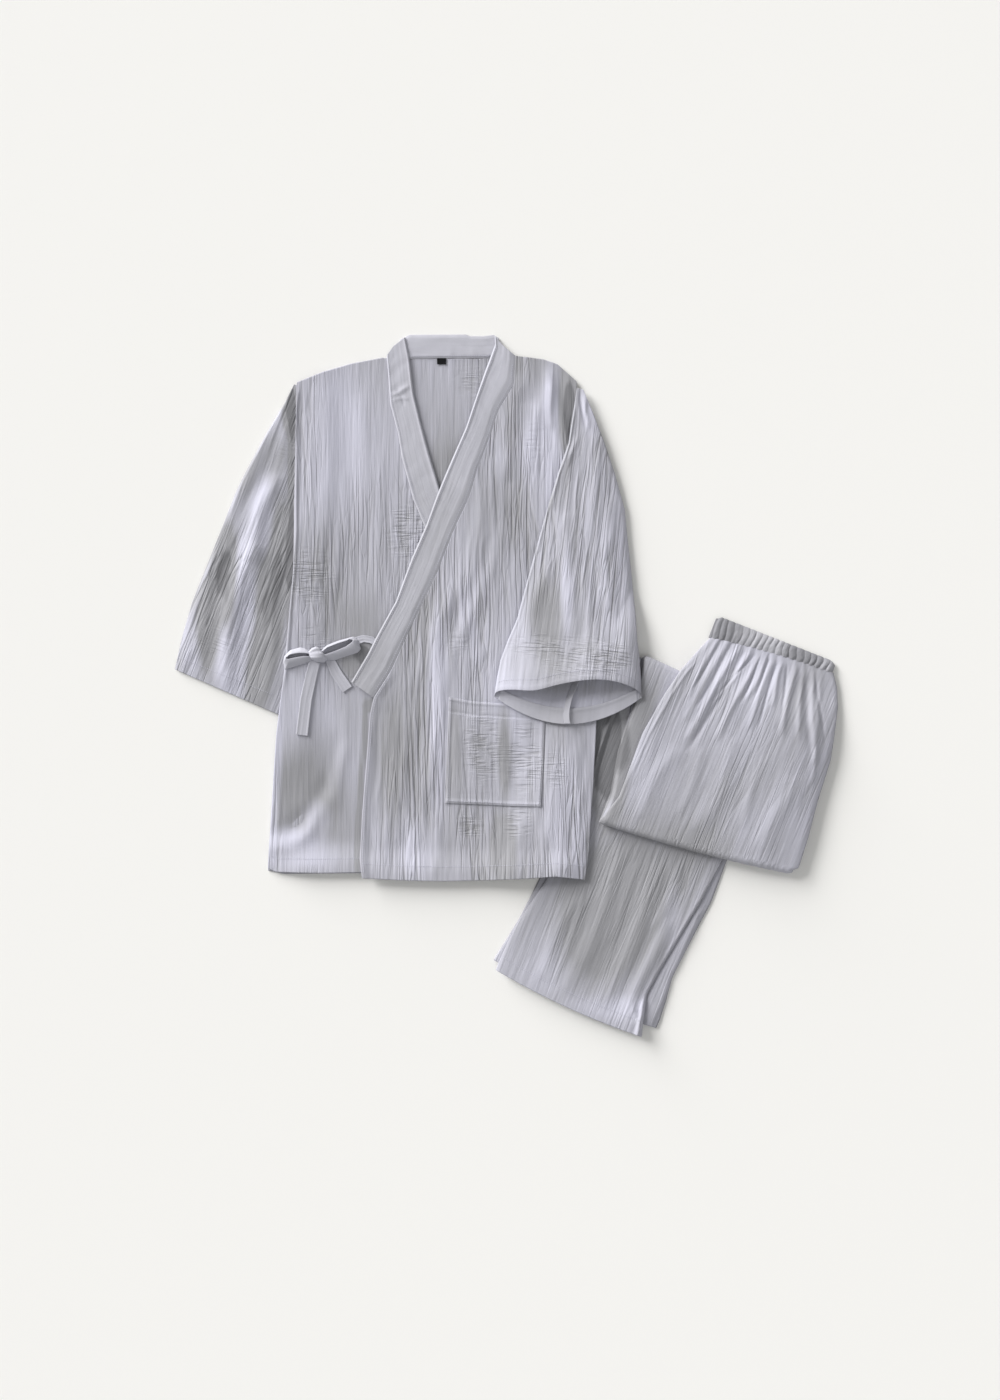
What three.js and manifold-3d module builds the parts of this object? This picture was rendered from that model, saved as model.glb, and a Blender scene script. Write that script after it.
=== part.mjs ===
// Kimono pajama set in crinkled double gauze, laid flat on a surface: a wrap jacket tied with a
// bow, and wide trousers folded leg on leg and then in three, tucked under its lower corner.
// Millimetres, +Z up, +Y towards the collar, +X to the wearer's left. The floor is Z = 0.
import * as THREE from 'three';
import { mergeVertices } from 'three/addons/utils/BufferGeometryUtils.js';
import Module from 'manifold-3d';

const wasm = await Module();
wasm.setup();

// Cloth as it lies, crinkle included
const WALL = 1.6;
const BAND_WALL = 2.4;
const FLAT_TUBE = 3.2;
const TRIM_WALL = 0.8;
const SEAM_GAP = 0.4;
const HALF_SEAM = SEAM_GAP / 2;

// The sleeve tucked under the wearer's right side, and the trousers under the left corner, lift
// the jacket's edge over these distances from it, and the sleeve only above its own cuff
const SLEEVE_LIFT = { height: 3.8, falls: [26, 74], upFrom: [-160, -85] };
const TROUSER_LIFT = { height: 7.2, rises: [-100, -42] };

// One trouser leg is a flat tube; the legs lie on each other and the stack is folded in three
const LEG_WALL = 2.8;
const LEG_PITCH = 3.6;

const CLOTH = '#b9b9c4';
const CLOTH_SHADE = '#a9a9b4';
const CLOTH_LIGHT = '#c6c6d0';

const JACKET_LATTICE = { columns: 18, rows: 23, topY: 494, hemY: -280 };

// Soft slopes between two distances, in the order of smoothstep: 0 at the first, 1 at the second.
// The right front is plain under the left one and around the bow; the left front comes down to the
// back beyond the hidden band, and is plain under the sleeve
const PLAIN_UNDER_LEFT_FRONT = [-60, -30];
const PLAIN_AROUND_BOW = { x: -262, y: 10, slope: [110, 150] };
const PAST_HIDDEN_BAND = [45, 100];
const PLAIN_BESIDE_SLEEVE = [-75, -40];
const PLAIN_ABOVE_CUFF = [-110, -70];

// Both sides of the jacket's body, and the trouser edges that lie near it
const BODY_SIDES = [
  { y: -275, left: -333, right: 110 },
  { y: -237, left: -332, right: 115 },
  { y: -202, left: -330, right: 120 },
  { y: -135, left: -326, right: 122 },
  { y: -68, left: -321, right: 124 },
  { y: -30, left: -318, right: 127 },
  { y: 19, left: -310, right: 127 },
  { y: 92, left: -304, right: 124 },
  { y: 163, left: -297, right: 119 },
  { y: 218, left: -295, right: 113 },
  { y: 383, left: -295, right: 99 },
  { y: 423, left: -292, right: 99 },
];
const TROUSER_EDGES = [
  { y: -400, lower: -15, middle: 129 },
  { y: -325, lower: 19, middle: 129 },
  { y: -270, lower: 56, middle: 129 },
  { y: -188, lower: 82, middle: 129 },
  { y: -104, lower: 115, middle: 153 },
  { y: -36, lower: 145, middle: 172 },
  { y: 47, lower: 183, middle: 192 },
  { y: 200, lower: 300, middle: 320 },
];

// Outlines of the jacket's panels seen from above; the neck is at the top
const SHOULDER_RIGHT = [[-340, 423.5], [-292, 423.5], [-256, 438], [-217, 450], [-172, 458.5]];
const SHOULDER_LEFT = [[12.6, 461.4], [52, 456], [72, 449], [98.7, 425], [140, 424]];
const BACK_NECK = [[-166, 456.2], [-133.6, 456.5], [-22.7, 458]];
const BACK_HEM = [[140, -266], [-60, -264], [-310, -266], [-340, -262]];
const RIGHT_SEAM = [[-166.6, 456], [-162, 393], [-151, 351], [-146, 318.5], [-130, 260], [-14, -17]];
const RIGHT_EDGE = [[-14, -17], [-12, -120], [-10, -261]];
const RIGHT_HEM = [[-206, -261], [-257, -262], [-321, -261], [-340, -255]];
const RIGHT_BAND_FOLD = [[25, -8], [-92, 273], [-108, 326], [-119, 366.5], [-129, 408], [-135, 458],
  [-141, 487]];
const RIGHT_BAND_TURN = [[-157.6, 474], [-166.6, 461]];
const LEFT_SEAM = [[12.6, 461], [11, 421], [-11.5, 383], [-21, 352], [-38.5, 306.6], [-52, 262],
  [-74, 215], [-95, 160], [-119, 110], [-135, 77], [-161, 20], [-185, -17.5]];
const LEFT_EDGE = [[-190, -41], [-194, -94.5], [-200.5, -175], [-204, -241], [-200.5, -268.7]];
const LEFT_HEM = [[-147, -271.7], [-90, -273], [-32, -271.7], [25, -269], [70, -266], [140, -273]];
const LEFT_BAND_FOLD = [[-216, 5], [-192.5, 45], [-182, 66], [-154, 117], [-132, 177], [-111, 225],
  [-97, 264], [-84, 296], [-71, 326], [-56, 360], [-42, 402], [-29, 440], [-22.7, 456.5],
  [-15.4, 476], [-16, 488.6]];
const LEFT_BAND_TURN = [[-3.4, 474]];
const NECK_BAND = [[-150, 457], [-133.6, 456.9], [-22.7, 458.4], [-8, 460], [-12, 486], [-17, 490.6],
  [-32, 488.6], [-50, 488.6], [-56, 491], [-135, 490.6], [-146, 484]];
const POCKET = [[-80, -16], [-47, -22], [-13, -24.5], [55, -29], [49, -169], [-85, -164.5]];
const NECK_LABEL = [[-96, 457], [-85, 457], [-85, 448], [-96, 448]];

// Soft folds of the panels: a straight crest, how wide it is and how high it stands
const RIGHT_FRONT_FOLDS = [
  { x0: -246, y0: 410, x1: -262, y1: 130, width: 30, height: 1.5 },
  { x0: -196, y0: 400, x1: -214, y1: 180, width: 27, height: 1.1 },
  { x0: -300, y0: -110, x1: -306, y1: -240, width: 30, height: 1.3 },
  { x0: -250, y0: -80, x1: -262, y1: -250, width: 28, height: 1.2 },
];
const LEFT_FRONT_FOLDS = [
  { x0: 22, y0: 430, x1: -6, y1: 290, width: 28, height: 1.8 },
  { x0: -20, y0: 280, x1: -84, y1: 90, width: 30, height: 1.2 },
  { x0: -60, y0: 150, x1: -128, y1: 0, width: 30, height: 1.4 },
  { x0: -158, y0: -40, x1: -168, y1: -250, width: 30, height: 1.5 },
  { x0: -112, y0: -70, x1: -118, y1: -255, width: 26, height: 1.1 },
  { x0: -20, y0: -190, x1: -30, y1: -262, width: 32, height: 1.3 },
  { x0: 84, y0: -90, x1: 78, y1: -255, width: 28, height: 1.6 },
];

// The wearer's right sleeve lies closed; its inner edge runs under the body
const RIGHT_SLEEVE = [
  { along: 0, outerX: -297, outerY: 421, innerX: -281, innerY: 419 },
  { along: 0.07, outerX: -310, outerY: 395, innerX: -275, innerY: 390 },
  { along: 0.18, outerX: -336, outerY: 351, innerX: -275, innerY: 343 },
  { along: 0.3, outerX: -361, outerY: 305, innerX: -275, innerY: 290 },
  { along: 0.38, outerX: -377, outerY: 273, innerX: -275, innerY: 252 },
  { along: 0.48, outerX: -393, outerY: 232, innerX: -275, innerY: 204 },
  { along: 0.65, outerX: -419, outerY: 162, innerX: -279, innerY: 126 },
  { along: 0.77, outerX: -440, outerY: 115.5, innerX: -283, innerY: 70 },
  { along: 0.88, outerX: -453, outerY: 69, innerX: -289, innerY: 16 },
  { along: 1, outerX: -463.4, outerY: 22.7, innerX: -297, innerY: -50 },
];
const RIGHT_SLEEVE_GRID = { columns: 12, rows: 18 };
const SLEEVE_TUCK = [2, 36];
const RIGHT_SLEEVE_FOLDS = [
  { x0: -318, y0: 352, x1: -396, y1: 90, width: 21, height: 7.5 },
  { x0: -338, y0: 280, x1: -424, y1: 30, width: 17, height: 3.2 },
  { x0: -324, y0: 250, x1: -348, y1: 0, width: 16, height: 3.5 },
];

// The wearer's left sleeve lies over the body; its cuff stands open. Height is the rise of the
// upper wall over the lower one, back and forward are how far each hem bows out at its middle
const LEFT_SLEEVE = [
  { along: 0, leftX: 99, leftY: 415, rightX: 108, rightY: 413, height: 3.2, back: 0, forward: 0 },
  { along: 0.07, leftX: 94, leftY: 384, rightX: 121, rightY: 382, height: 3.6, back: 0, forward: 0 },
  { along: 0.17, leftX: 87, leftY: 338, rightX: 138, rightY: 338, height: 4.6, back: 0, forward: 0 },
  { along: 0.27, leftX: 72, leftY: 295, rightX: 152, rightY: 296, height: 5.8, back: 0, forward: 0 },
  { along: 0.38, leftX: 57, leftY: 245, rightX: 166, rightY: 246, height: 7, back: 0, forward: 0 },
  { along: 0.48, leftX: 45.5, leftY: 204, rightX: 170, rightY: 204, height: 8, back: 0, forward: 0 },
  { along: 0.6, leftX: 30, leftY: 148, rightX: 176, rightY: 150, height: 9.5, back: 0, forward: 0 },
  { along: 0.72, leftX: 15, leftY: 92, rightX: 181, rightY: 95, height: 12, back: 2, forward: 3 },
  { along: 0.8, leftX: 2, leftY: 62, rightX: 183, rightY: 60, height: 15, back: 5, forward: 8 },
  { along: 0.87, leftX: -8, leftY: 35, rightX: 186, rightY: 38, height: 19, back: 9, forward: 16 },
  { along: 0.94, leftX: -13, leftY: 9, rightX: 188, rightY: 9, height: 23, back: 14, forward: 27 },
  { along: 1, leftX: -16.5, leftY: -15.5, rightX: 189, rightY: -17, height: 26, back: 20, forward: 38 },
];
const LEFT_SLEEVE_GRID = { columns: 12, rows: 16 };
const CUFF_HOLLOW = { from: 0.58, inset: 0.045, past: 14, rows: 8 };
const SLEEVE_CLEAR = 1.1;

// Where the left sleeve leaves the panel and the pocket, and where it climbs onto the trousers
const SLEEVE_OFF_PANEL = [26, 85];
const SLEEVE_OFF_POCKET = { y: [10, 45], x: [72, 105] };
const SLEEVE_ONTO_LOWER = [-60, -14];
const SLEEVE_ONTO_MIDDLE = [-50, -12];
const SLEEVE_TOP_Y = 440;

// The bow: where the knot sits, and each ribbon's middle line with its half width
const KNOT = { x: -264, y: 43, halfX: 11.5, halfY: 10, edge: 2, rise: 8, grid: 6 };
const TIE_WALL = 1.2;
const TIE_BED = 0.5;
const TIE_STEP = 2.2;
const TIE_GRID = { columns: 4, rowsPerStretch: 3 };
const RIBBONS = [
  { name: 'tie_tail_long', bed: TIE_BED, crown: TIE_WALL,
    line: [{ x: -263, y: 40, half: 7 }, { x: -266, y: 15, half: 8 }, { x: -274, y: -25, half: 8.4 },
      { x: -284.5, y: -69.5, half: 8.6 }] },
  { name: 'tie_tail_short', bed: TIE_BED, crown: TIE_WALL,
    line: [{ x: -246, y: 35, half: 6 }, { x: -238, y: 20, half: 8 }, { x: -221, y: -5.5, half: 8.3 }] },
  { name: 'tie_to_band', bed: TIE_BED, crown: TIE_WALL,
    line: [{ x: -254, y: 47, half: 6 }, { x: -225, y: 54, half: 6.5 }, { x: -207, y: 59.5, half: 5.6 },
      { x: -194, y: 62, half: 5.2 }] },
  { name: 'tie_to_side', bed: TIE_BED, crown: TIE_WALL,
    line: [{ x: -305, y: 38, half: 6.5 }, { x: -290, y: 40, half: 6.5 }, { x: -278, y: 42, half: 6 }] },
  { name: 'tie_loop_left', bed: TIE_STEP, crown: 9,
    line: [{ x: -276.5, y: 42, half: 7 }, { x: -284, y: 41, half: 11 }, { x: -294, y: 38.5, half: 15 },
      { x: -303, y: 35.5, half: 14 }, { x: -310, y: 33, half: 7 }] },
  { name: 'tie_loop_right', bed: TIE_STEP, crown: 8,
    line: [{ x: -251.5, y: 45, half: 6.5 }, { x: -242, y: 48.5, half: 9.5 },
      { x: -228, y: 54, half: 10.5 }, { x: -215, y: 58, half: 9.5 }, { x: -207, y: 59, half: 6 }] },
];

// Trousers in their own plane: across to the right, down from the waist, turned on the floor
const TROUSERS = { x: 372.1, y: 66.5, turn: THREE.MathUtils.degToRad(21.5) };
const TOP_FOLD = { left: 87, right: 100, across: -160, width: 226 };

// The segments sink beside and above the ones below them, over these distances
const SINK_BESIDE_LOWER = [14, 110];
const SINK_BESIDE_MIDDLE = [6, 90];
const SINK_ABOVE_FOLD = { slope: [-62, 4], share: 0.95 };
const TOP_SEGMENT = [
  { down: 12, left: -80, right: 96 },
  { down: 32, left: -81, right: 110 },
  { down: 56, left: -91, right: 120.6 },
  { down: 90, left: -104, right: 129 },
  { down: 129, left: -112.5, right: 138 },
  { down: 190, left: -121, right: 142 },
  { down: 240, left: -120, right: 148 },
  { down: 284, left: -119, right: 151 },
  { down: 303, left: -125, right: 146.6 },
  { down: 330, left: -131.4, right: 146.6 },
];
const MIDDLE_SEGMENT = [
  { down: 87, left: -160, right: 66 },
  { down: 168, left: -147.6, right: 94 },
  { down: 225, left: -143.6, right: 119 },
  { down: 286, left: -131.1, right: 145 },
  { down: 330, left: -131.8, right: 146.6 },
];
const LOWER_SEGMENT = [
  { down: 87, left: -168, right: 65, underLeft: -163, underRight: 70 },
  { down: 191, left: -173, right: 58, underLeft: -170, underRight: 65 },
  { down: 316, left: -177.5, right: 49, underLeft: -175, underRight: 58 },
  { down: 375, left: -175, right: 43, underLeft: -178, underRight: 59 },
  { down: 430, left: -170, right: 34, underLeft: -181, underRight: 53 },
  { down: 494, left: -184, right: 24, underLeft: -187, underRight: 47 },
  { down: 528, left: -188, right: 20, underLeft: -193, underRight: 51 },
  { down: 563, left: -190, right: 28, underLeft: -199.5, underRight: 53 },
  { down: 587, left: -189, right: 35, underLeft: -197, underRight: 45 },
];
const LOWER_FOLD = { left: 329, right: 297, bow: 4 };
const WAIST_SEAM = { left: 31, right: 14, bow: 3 };
const LEG_HEM = { left: 573, right: 585, bow: 6, underLeft: 562, underRight: 567 };

// Pleats that run down from the gathered waist, on the upper leg
const WAIST_PLEATS = [
  { x0: -66, y0: 24, x1: -76, y1: 130, width: 7, height: 2.4 },
  { x0: -50, y0: 24, x1: -64, y1: 150, width: 8, height: 3 },
  { x0: -30, y0: 22, x1: -42, y1: 170, width: 8, height: 3.4 },
  { x0: -10, y0: 22, x1: -18, y1: 110, width: 7, height: 2.4 },
  { x0: 6, y0: 22, x1: -2, y1: 130, width: 7, height: 3 },
  { x0: 24, y0: 22, x1: 22, y1: 90, width: 6.5, height: 2.4 },
  { x0: 42, y0: 20, x1: 58, y1: 140, width: 8, height: 3.6 },
  { x0: 60, y0: 20, x1: 86, y1: 160, width: 8, height: 2.8 },
  { x0: 78, y0: 18, x1: 112, y1: 180, width: 8, height: 2.4 },
];
const LEG_FOLDS = [
  { x0: -70, y0: 190, x1: -84, y1: 300, width: 16, height: 1.8 },
  { x0: 8, y0: 150, x1: 0, y1: 290, width: 18, height: 2 },
  { x0: 92, y0: 170, x1: 100, y1: 280, width: 16, height: 1.8 },
];
const SHIN_FOLDS = [
  { x0: -120, y0: 430, x1: -128, y1: 560, width: 15, height: 2 },
  { x0: -76, y0: 345, x1: -84, y1: 570, width: 16, height: 1.6 },
  { x0: -30, y0: 350, x1: -36, y1: 560, width: 16, height: 2.2 },
  { x0: 4, y0: 420, x1: 8, y1: 575, width: 13, height: 2.6 },
];
const PLAIN_AT_SIDES = 0.05;
const PLAIN_AT_FOLD = [285, 318];
const SHIN_BESIDE_JACKET = { down: [335, 375], across: [-105, -70] };
const SHIN_BELOW_JACKET = [425, 460];
const LEG_COLUMNS = { upper: 20, under: 10 };
const SEGMENT_ROWS = { middle: 6, lower: 10 };
const TOP_STATIONS = [0, 0.03, 0.07, 0.12, 0.17, 0.22, 0.3, 0.4, 0.52, 0.64, 0.76, 0.88, 1];
const FOLD_TURNS = [45, 90, 135];
const WAISTBAND = { left: -83, right: 96, top: -1, shoulder: 5, gathers: 19, height: 9.5, ridge: 2.4,
  scallop: 0.8, endHeight: 0.45, steps: 4, rows: 3 };

const set = new THREE.Group();

const mix = (a, b, f) => a + (b - a) * f;
const smooth = ([from, to], at) => THREE.MathUtils.smoothstep(at, from, to);
const bow = (f) => 4 * f * (1 - f);

// One column of a table, read at a place in another column that rises from row to row
function read(table, key, at, column) {
  const next = Math.max(1, table.findIndex((row) => row[key] >= at));
  const upper = at > table.at(-1)[key] ? table.length - 1 : next;
  const from = table[upper - 1];
  const to = table[upper];
  const f = THREE.MathUtils.clamp((at - from[key]) / (to[key] - from[key]), 0, 1);
  return mix(from[column], to[column], f);
}

// Height that a table's soft folds add at a point: rounded across, fading out at both ends
function foldHeight(folds, x, y) {
  let height = 0;
  for (const fold of folds) {
    const alongX = fold.x1 - fold.x0;
    const alongY = fold.y1 - fold.y0;
    const f = ((x - fold.x0) * alongX + (y - fold.y0) * alongY) / (alongX ** 2 + alongY ** 2);
    const clamped = THREE.MathUtils.clamp(f, 0, 1);
    const away = Math.hypot(x - fold.x0 - alongX * clamped, y - fold.y0 - alongY * clamped);
    const fade = mix(0.35, 1, Math.sqrt(bow(clamped)));
    height += fold.height * fade * Math.exp(-((away / fold.width) ** 2));
  }
  return height;
}

// A closed slab: a lower and an upper sheet of points, joined all round. The first number runs
// across to the right and the second one down, both from 0 to 1
function slab(columns, rows, lower, upper) {
  const positions = [];
  const index = [];
  const at = (i, j, side) => 2 * (j * (columns + 1) + i) + side;
  const quad = (a, b, c, d) => index.push(a, b, c, a, c, d);
  for (let j = 0; j <= rows; j++) {
    for (let i = 0; i <= columns; i++) {
      positions.push(...lower(i / columns, j / rows), ...upper(i / columns, j / rows));
    }
  }
  for (let j = 0; j < rows; j++) {
    for (let i = 0; i < columns; i++) {
      quad(at(i, j, 1), at(i, j + 1, 1), at(i + 1, j + 1, 1), at(i + 1, j, 1));
      quad(at(i, j, 0), at(i + 1, j, 0), at(i + 1, j + 1, 0), at(i, j + 1, 0));
    }
    quad(at(0, j, 0), at(0, j + 1, 0), at(0, j + 1, 1), at(0, j, 1));
    quad(at(columns, j + 1, 0), at(columns, j, 0), at(columns, j, 1), at(columns, j + 1, 1));
  }
  for (let i = 0; i < columns; i++) {
    quad(at(i + 1, 0, 0), at(i, 0, 0), at(i, 0, 1), at(i + 1, 0, 1));
    quad(at(i, rows, 0), at(i + 1, rows, 0), at(i + 1, rows, 1), at(i, rows, 1));
  }
  const geometry = new THREE.BufferGeometry();
  geometry.setAttribute('position', new THREE.Float32BufferAttribute(positions, 3));
  geometry.setIndex(index);
  return geometry;
}

function toSolid(geometry) {
  geometry.deleteAttribute('normal');
  geometry.deleteAttribute('uv');
  const merged = mergeVertices(geometry, 1e-4);
  const vertProperties = new Float32Array(merged.attributes.position.array);
  const triVerts = new Uint32Array(merged.index.array);
  return new wasm.Manifold(new wasm.Mesh({ numProp: 3, vertProperties, triVerts }));
}

function toGeometry(solid) {
  const mesh = solid.getMesh();
  const geometry = new THREE.BufferGeometry();
  geometry.setAttribute('position', new THREE.BufferAttribute(mesh.vertProperties, 3));
  geometry.setIndex(new THREE.BufferAttribute(mesh.triVerts, 1));
  return geometry;
}

// Cuts a slab to an outline seen from above
function cutTo(geometry, outline) {
  const depth = 200;
  const shape = new THREE.Shape(outline.map(([x, y]) => new THREE.Vector2(x, y)));
  const prism = new THREE.ExtrudeGeometry(shape, { depth, bevelEnabled: false });
  prism.translate(0, 0, -depth / 2);
  return toGeometry(toSolid(geometry).intersect(toSolid(prism)));
}

function addPiece(name, colour, geometry) {
  const material = new THREE.MeshStandardMaterial({ color: colour, roughness: 0.95, metalness: 0 });
  const mesh = new THREE.Mesh(geometry, material);
  mesh.name = name;
  set.add(mesh);
}

// An outline moved sideways by half a seam, so that two sewn pieces stay just apart
const shifted = (outline, by) => outline.map(([x, y]) => [x + by, y]);

// Jacket body: all flat panels hang on one lattice of points, so that they lie on each other
function bodyPoint(across, down) {
  const y = mix(JACKET_LATTICE.topY, JACKET_LATTICE.hemY, down);
  const x = mix(read(BODY_SIDES, 'y', y, 'left'), read(BODY_SIDES, 'y', y, 'right'), across);
  return [x, y];
}

function backUnderside(x, y) {
  const fromSide = x - read(BODY_SIDES, 'y', y, 'left');
  const besideSleeve = smooth(SLEEVE_LIFT.upFrom, y);
  const overSleeve = SLEEVE_LIFT.height * besideSleeve * (1 - smooth(SLEEVE_LIFT.falls, fromSide));
  const fromTrousers = x - read(TROUSER_EDGES, 'y', y, 'lower');
  const overTrousers = TROUSER_LIFT.height * smooth(TROUSER_LIFT.rises, fromTrousers);
  return Math.max(overSleeve, overTrousers);
}

const backTop = (x, y) => backUnderside(x, y) + WALL;
const rightFrontUnderside = (x, y) => backTop(x, y) + SEAM_GAP;

// The wearer's right front is smooth where the other front and the bow lie on it
function rightFrontTop(x, y) {
  const overlap = x - read(BAND_EDGE, 'y', y, 'x');
  const fromBow = Math.hypot(x - PLAIN_AROUND_BOW.x, y - PLAIN_AROUND_BOW.y);
  const free = (1 - smooth(PLAIN_UNDER_LEFT_FRONT, overlap)) * smooth(PLAIN_AROUND_BOW.slope, fromBow);
  return rightFrontUnderside(x, y) + WALL + free * foldHeight(RIGHT_FRONT_FOLDS, x, y);
}

const rightBandTop = (x, y) => rightFrontUnderside(x, y) + BAND_WALL;

// The left front lies on the right front and its band, and comes down to the back beyond them
function leftFrontUnderside(x, y) {
  const pastHiddenBand = x - read(HIDDEN_BAND_EDGE, 'y', y, 'x');
  const lift = BAND_WALL + SEAM_GAP;
  return rightFrontUnderside(x, y) + lift * (1 - smooth(PAST_HIDDEN_BAND, pastHiddenBand));
}

function leftFrontTop(x, y) {
  const besideSleeve = 1 - smooth(PLAIN_BESIDE_SLEEVE, x - read(SLEEVE_EDGE, 'y', y, 'x'));
  const folds = foldHeight(LEFT_FRONT_FOLDS, x, y);
  const belowCuff = 1 - smooth(PLAIN_ABOVE_CUFF, y);
  return leftFrontUnderside(x, y) + WALL + Math.max(besideSleeve, belowCuff) * folds;
}

const leftBandTop = (x, y) => leftFrontUnderside(x, y) + BAND_WALL;

const byHeight = (outline) => outline.map(([x, y]) => ({ x, y })).sort((a, b) => a.y - b.y);
const BAND_EDGE = byHeight([...LEFT_EDGE.slice(1), ...LEFT_BAND_FOLD]);
const HIDDEN_BAND_EDGE = byHeight([[25, -262], ...RIGHT_BAND_FOLD]);
const SLEEVE_EDGE = byHeight(LEFT_SLEEVE.map((row) => [row.leftX, row.leftY]));

function bodySlab(lower, upper) {
  const lift = (surface) => (across, down) => {
    const [x, y] = bodyPoint(across, down);
    return [x, y, surface(x, y)];
  };
  return slab(JACKET_LATTICE.columns, JACKET_LATTICE.rows, lift(lower), lift(upper));
}

// A surface of the body read between its lattice points
function onBody(surface, x, y) {
  const { columns, rows, topY, hemY } = JACKET_LATTICE;
  const down = THREE.MathUtils.clamp(((y - topY) / (hemY - topY)) * rows, 0, rows - 1e-6);
  const left = read(BODY_SIDES, 'y', y, 'left');
  const right = read(BODY_SIDES, 'y', y, 'right');
  const across = THREE.MathUtils.clamp(((x - left) / (right - left)) * columns, 0, columns - 1e-6);
  const j = Math.floor(down);
  const i = Math.floor(across);
  const at = (di, dj) => surface(...bodyPoint((i + di) / columns, (j + dj) / rows));
  const upperRow = mix(at(0, 0), at(1, 0), across - i);
  const lowerRow = mix(at(0, 1), at(1, 1), across - i);
  return mix(upperRow, lowerRow, down - j);
}

function addJacketBody() {
  const backOutline = [...SHOULDER_RIGHT, ...BACK_NECK, ...SHOULDER_LEFT, ...BACK_HEM];
  addPiece('jacket_back', CLOTH_SHADE, cutTo(bodySlab(backUnderside, backTop), backOutline));

  const rightSewn = shifted([...RIGHT_SEAM, ...RIGHT_EDGE], -HALF_SEAM);
  const rightOutline = [...SHOULDER_RIGHT, ...rightSewn, ...RIGHT_HEM];
  const rightPanel = bodySlab(rightFrontUnderside, rightFrontTop);
  addPiece('jacket_right_front', CLOTH, cutTo(rightPanel, rightOutline));

  const rightBand = [...shifted(RIGHT_SEAM, HALF_SEAM), ...RIGHT_BAND_FOLD, ...RIGHT_BAND_TURN];
  const rightBandSlab = bodySlab(rightFrontUnderside, rightBandTop);
  addPiece('collar_right', CLOTH_LIGHT, cutTo(rightBandSlab, rightBand));

  const leftOutline = [...SHOULDER_LEFT, ...LEFT_HEM.toReversed(), ...LEFT_EDGE.toReversed(),
    ...shifted(LEFT_SEAM.toReversed(), HALF_SEAM)];
  addPiece('jacket_left_front', CLOTH, cutTo(bodySlab(leftFrontUnderside, leftFrontTop), leftOutline));

  const leftBand = [...shifted(LEFT_SEAM, -HALF_SEAM), ...LEFT_BAND_FOLD, ...LEFT_BAND_TURN];
  addPiece('collar_left', CLOTH_LIGHT, cutTo(bodySlab(leftFrontUnderside, leftBandTop), leftBand));

  const neckTop = (x, y) => backUnderside(x, y) + WALL;
  addPiece('collar_neck', CLOTH_LIGHT, cutTo(bodySlab(backUnderside, neckTop), NECK_BAND));

  const pocketUnderside = (x, y) => leftFrontTop(x, y) + SEAM_GAP;
  const pocketTop = (x, y) => pocketUnderside(x, y) + WALL;
  addPiece('patch_pocket', CLOTH, cutTo(bodySlab(pocketUnderside, pocketTop), POCKET));

  const labelUnderside = (x, y) => backTop(x, y) + SEAM_GAP;
  const labelTop = (x, y) => labelUnderside(x, y) + TRIM_WALL;
  addPiece('neck_label', '#1c1c1f', cutTo(bodySlab(labelUnderside, labelTop), NECK_LABEL));
}

// The right sleeve is a flat closed tube with a broad soft ridge down its middle
function addRightSleeve() {
  const place = (across, down) => [
    mix(read(RIGHT_SLEEVE, 'along', down, 'outerX'), read(RIGHT_SLEEVE, 'along', down, 'innerX'), across),
    mix(read(RIGHT_SLEEVE, 'along', down, 'outerY'), read(RIGHT_SLEEVE, 'along', down, 'innerY'), across),
  ];
  const lower = (across, down) => [...place(across, down), 0];
  const upper = (across, down) => {
    const [x, y] = place(across, down);
    const outside = read(BODY_SIDES, 'y', y, 'left') - x;
    const free = smooth(SLEEVE_TUCK, outside);
    return [x, y, FLAT_TUBE + free * foldHeight(RIGHT_SLEEVE_FOLDS, x, y)];
  };
  const { columns, rows } = RIGHT_SLEEVE_GRID;
  addPiece('right_sleeve', CLOTH, slab(columns, rows, lower, upper));
}

// What the left sleeve lies on: the body, then the floor or the folded trousers beside it
function sleeveRest(x, y) {
  const side = read(BODY_SIDES, 'y', y, 'right');
  const panelTop = onBody(leftFrontTop, Math.min(x, side), Math.min(y, SLEEVE_TOP_Y));
  const onPanel = panelTop * (1 - smooth(SLEEVE_OFF_PANEL, x - side));
  const pocketShare = (1 - smooth(SLEEVE_OFF_POCKET.y, y)) * (1 - smooth(SLEEVE_OFF_POCKET.x, x));
  const onPocket = (WALL + SEAM_GAP) * pocketShare;
  const lower = smooth(SLEEVE_ONTO_LOWER, x - read(TROUSER_EDGES, 'y', y, 'lower'));
  const middle = smooth(SLEEVE_ONTO_MIDDLE, x - read(TROUSER_EDGES, 'y', y, 'middle'));
  return Math.max(onPanel + onPocket, 2 * LEG_PITCH * (lower + middle));
}

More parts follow.
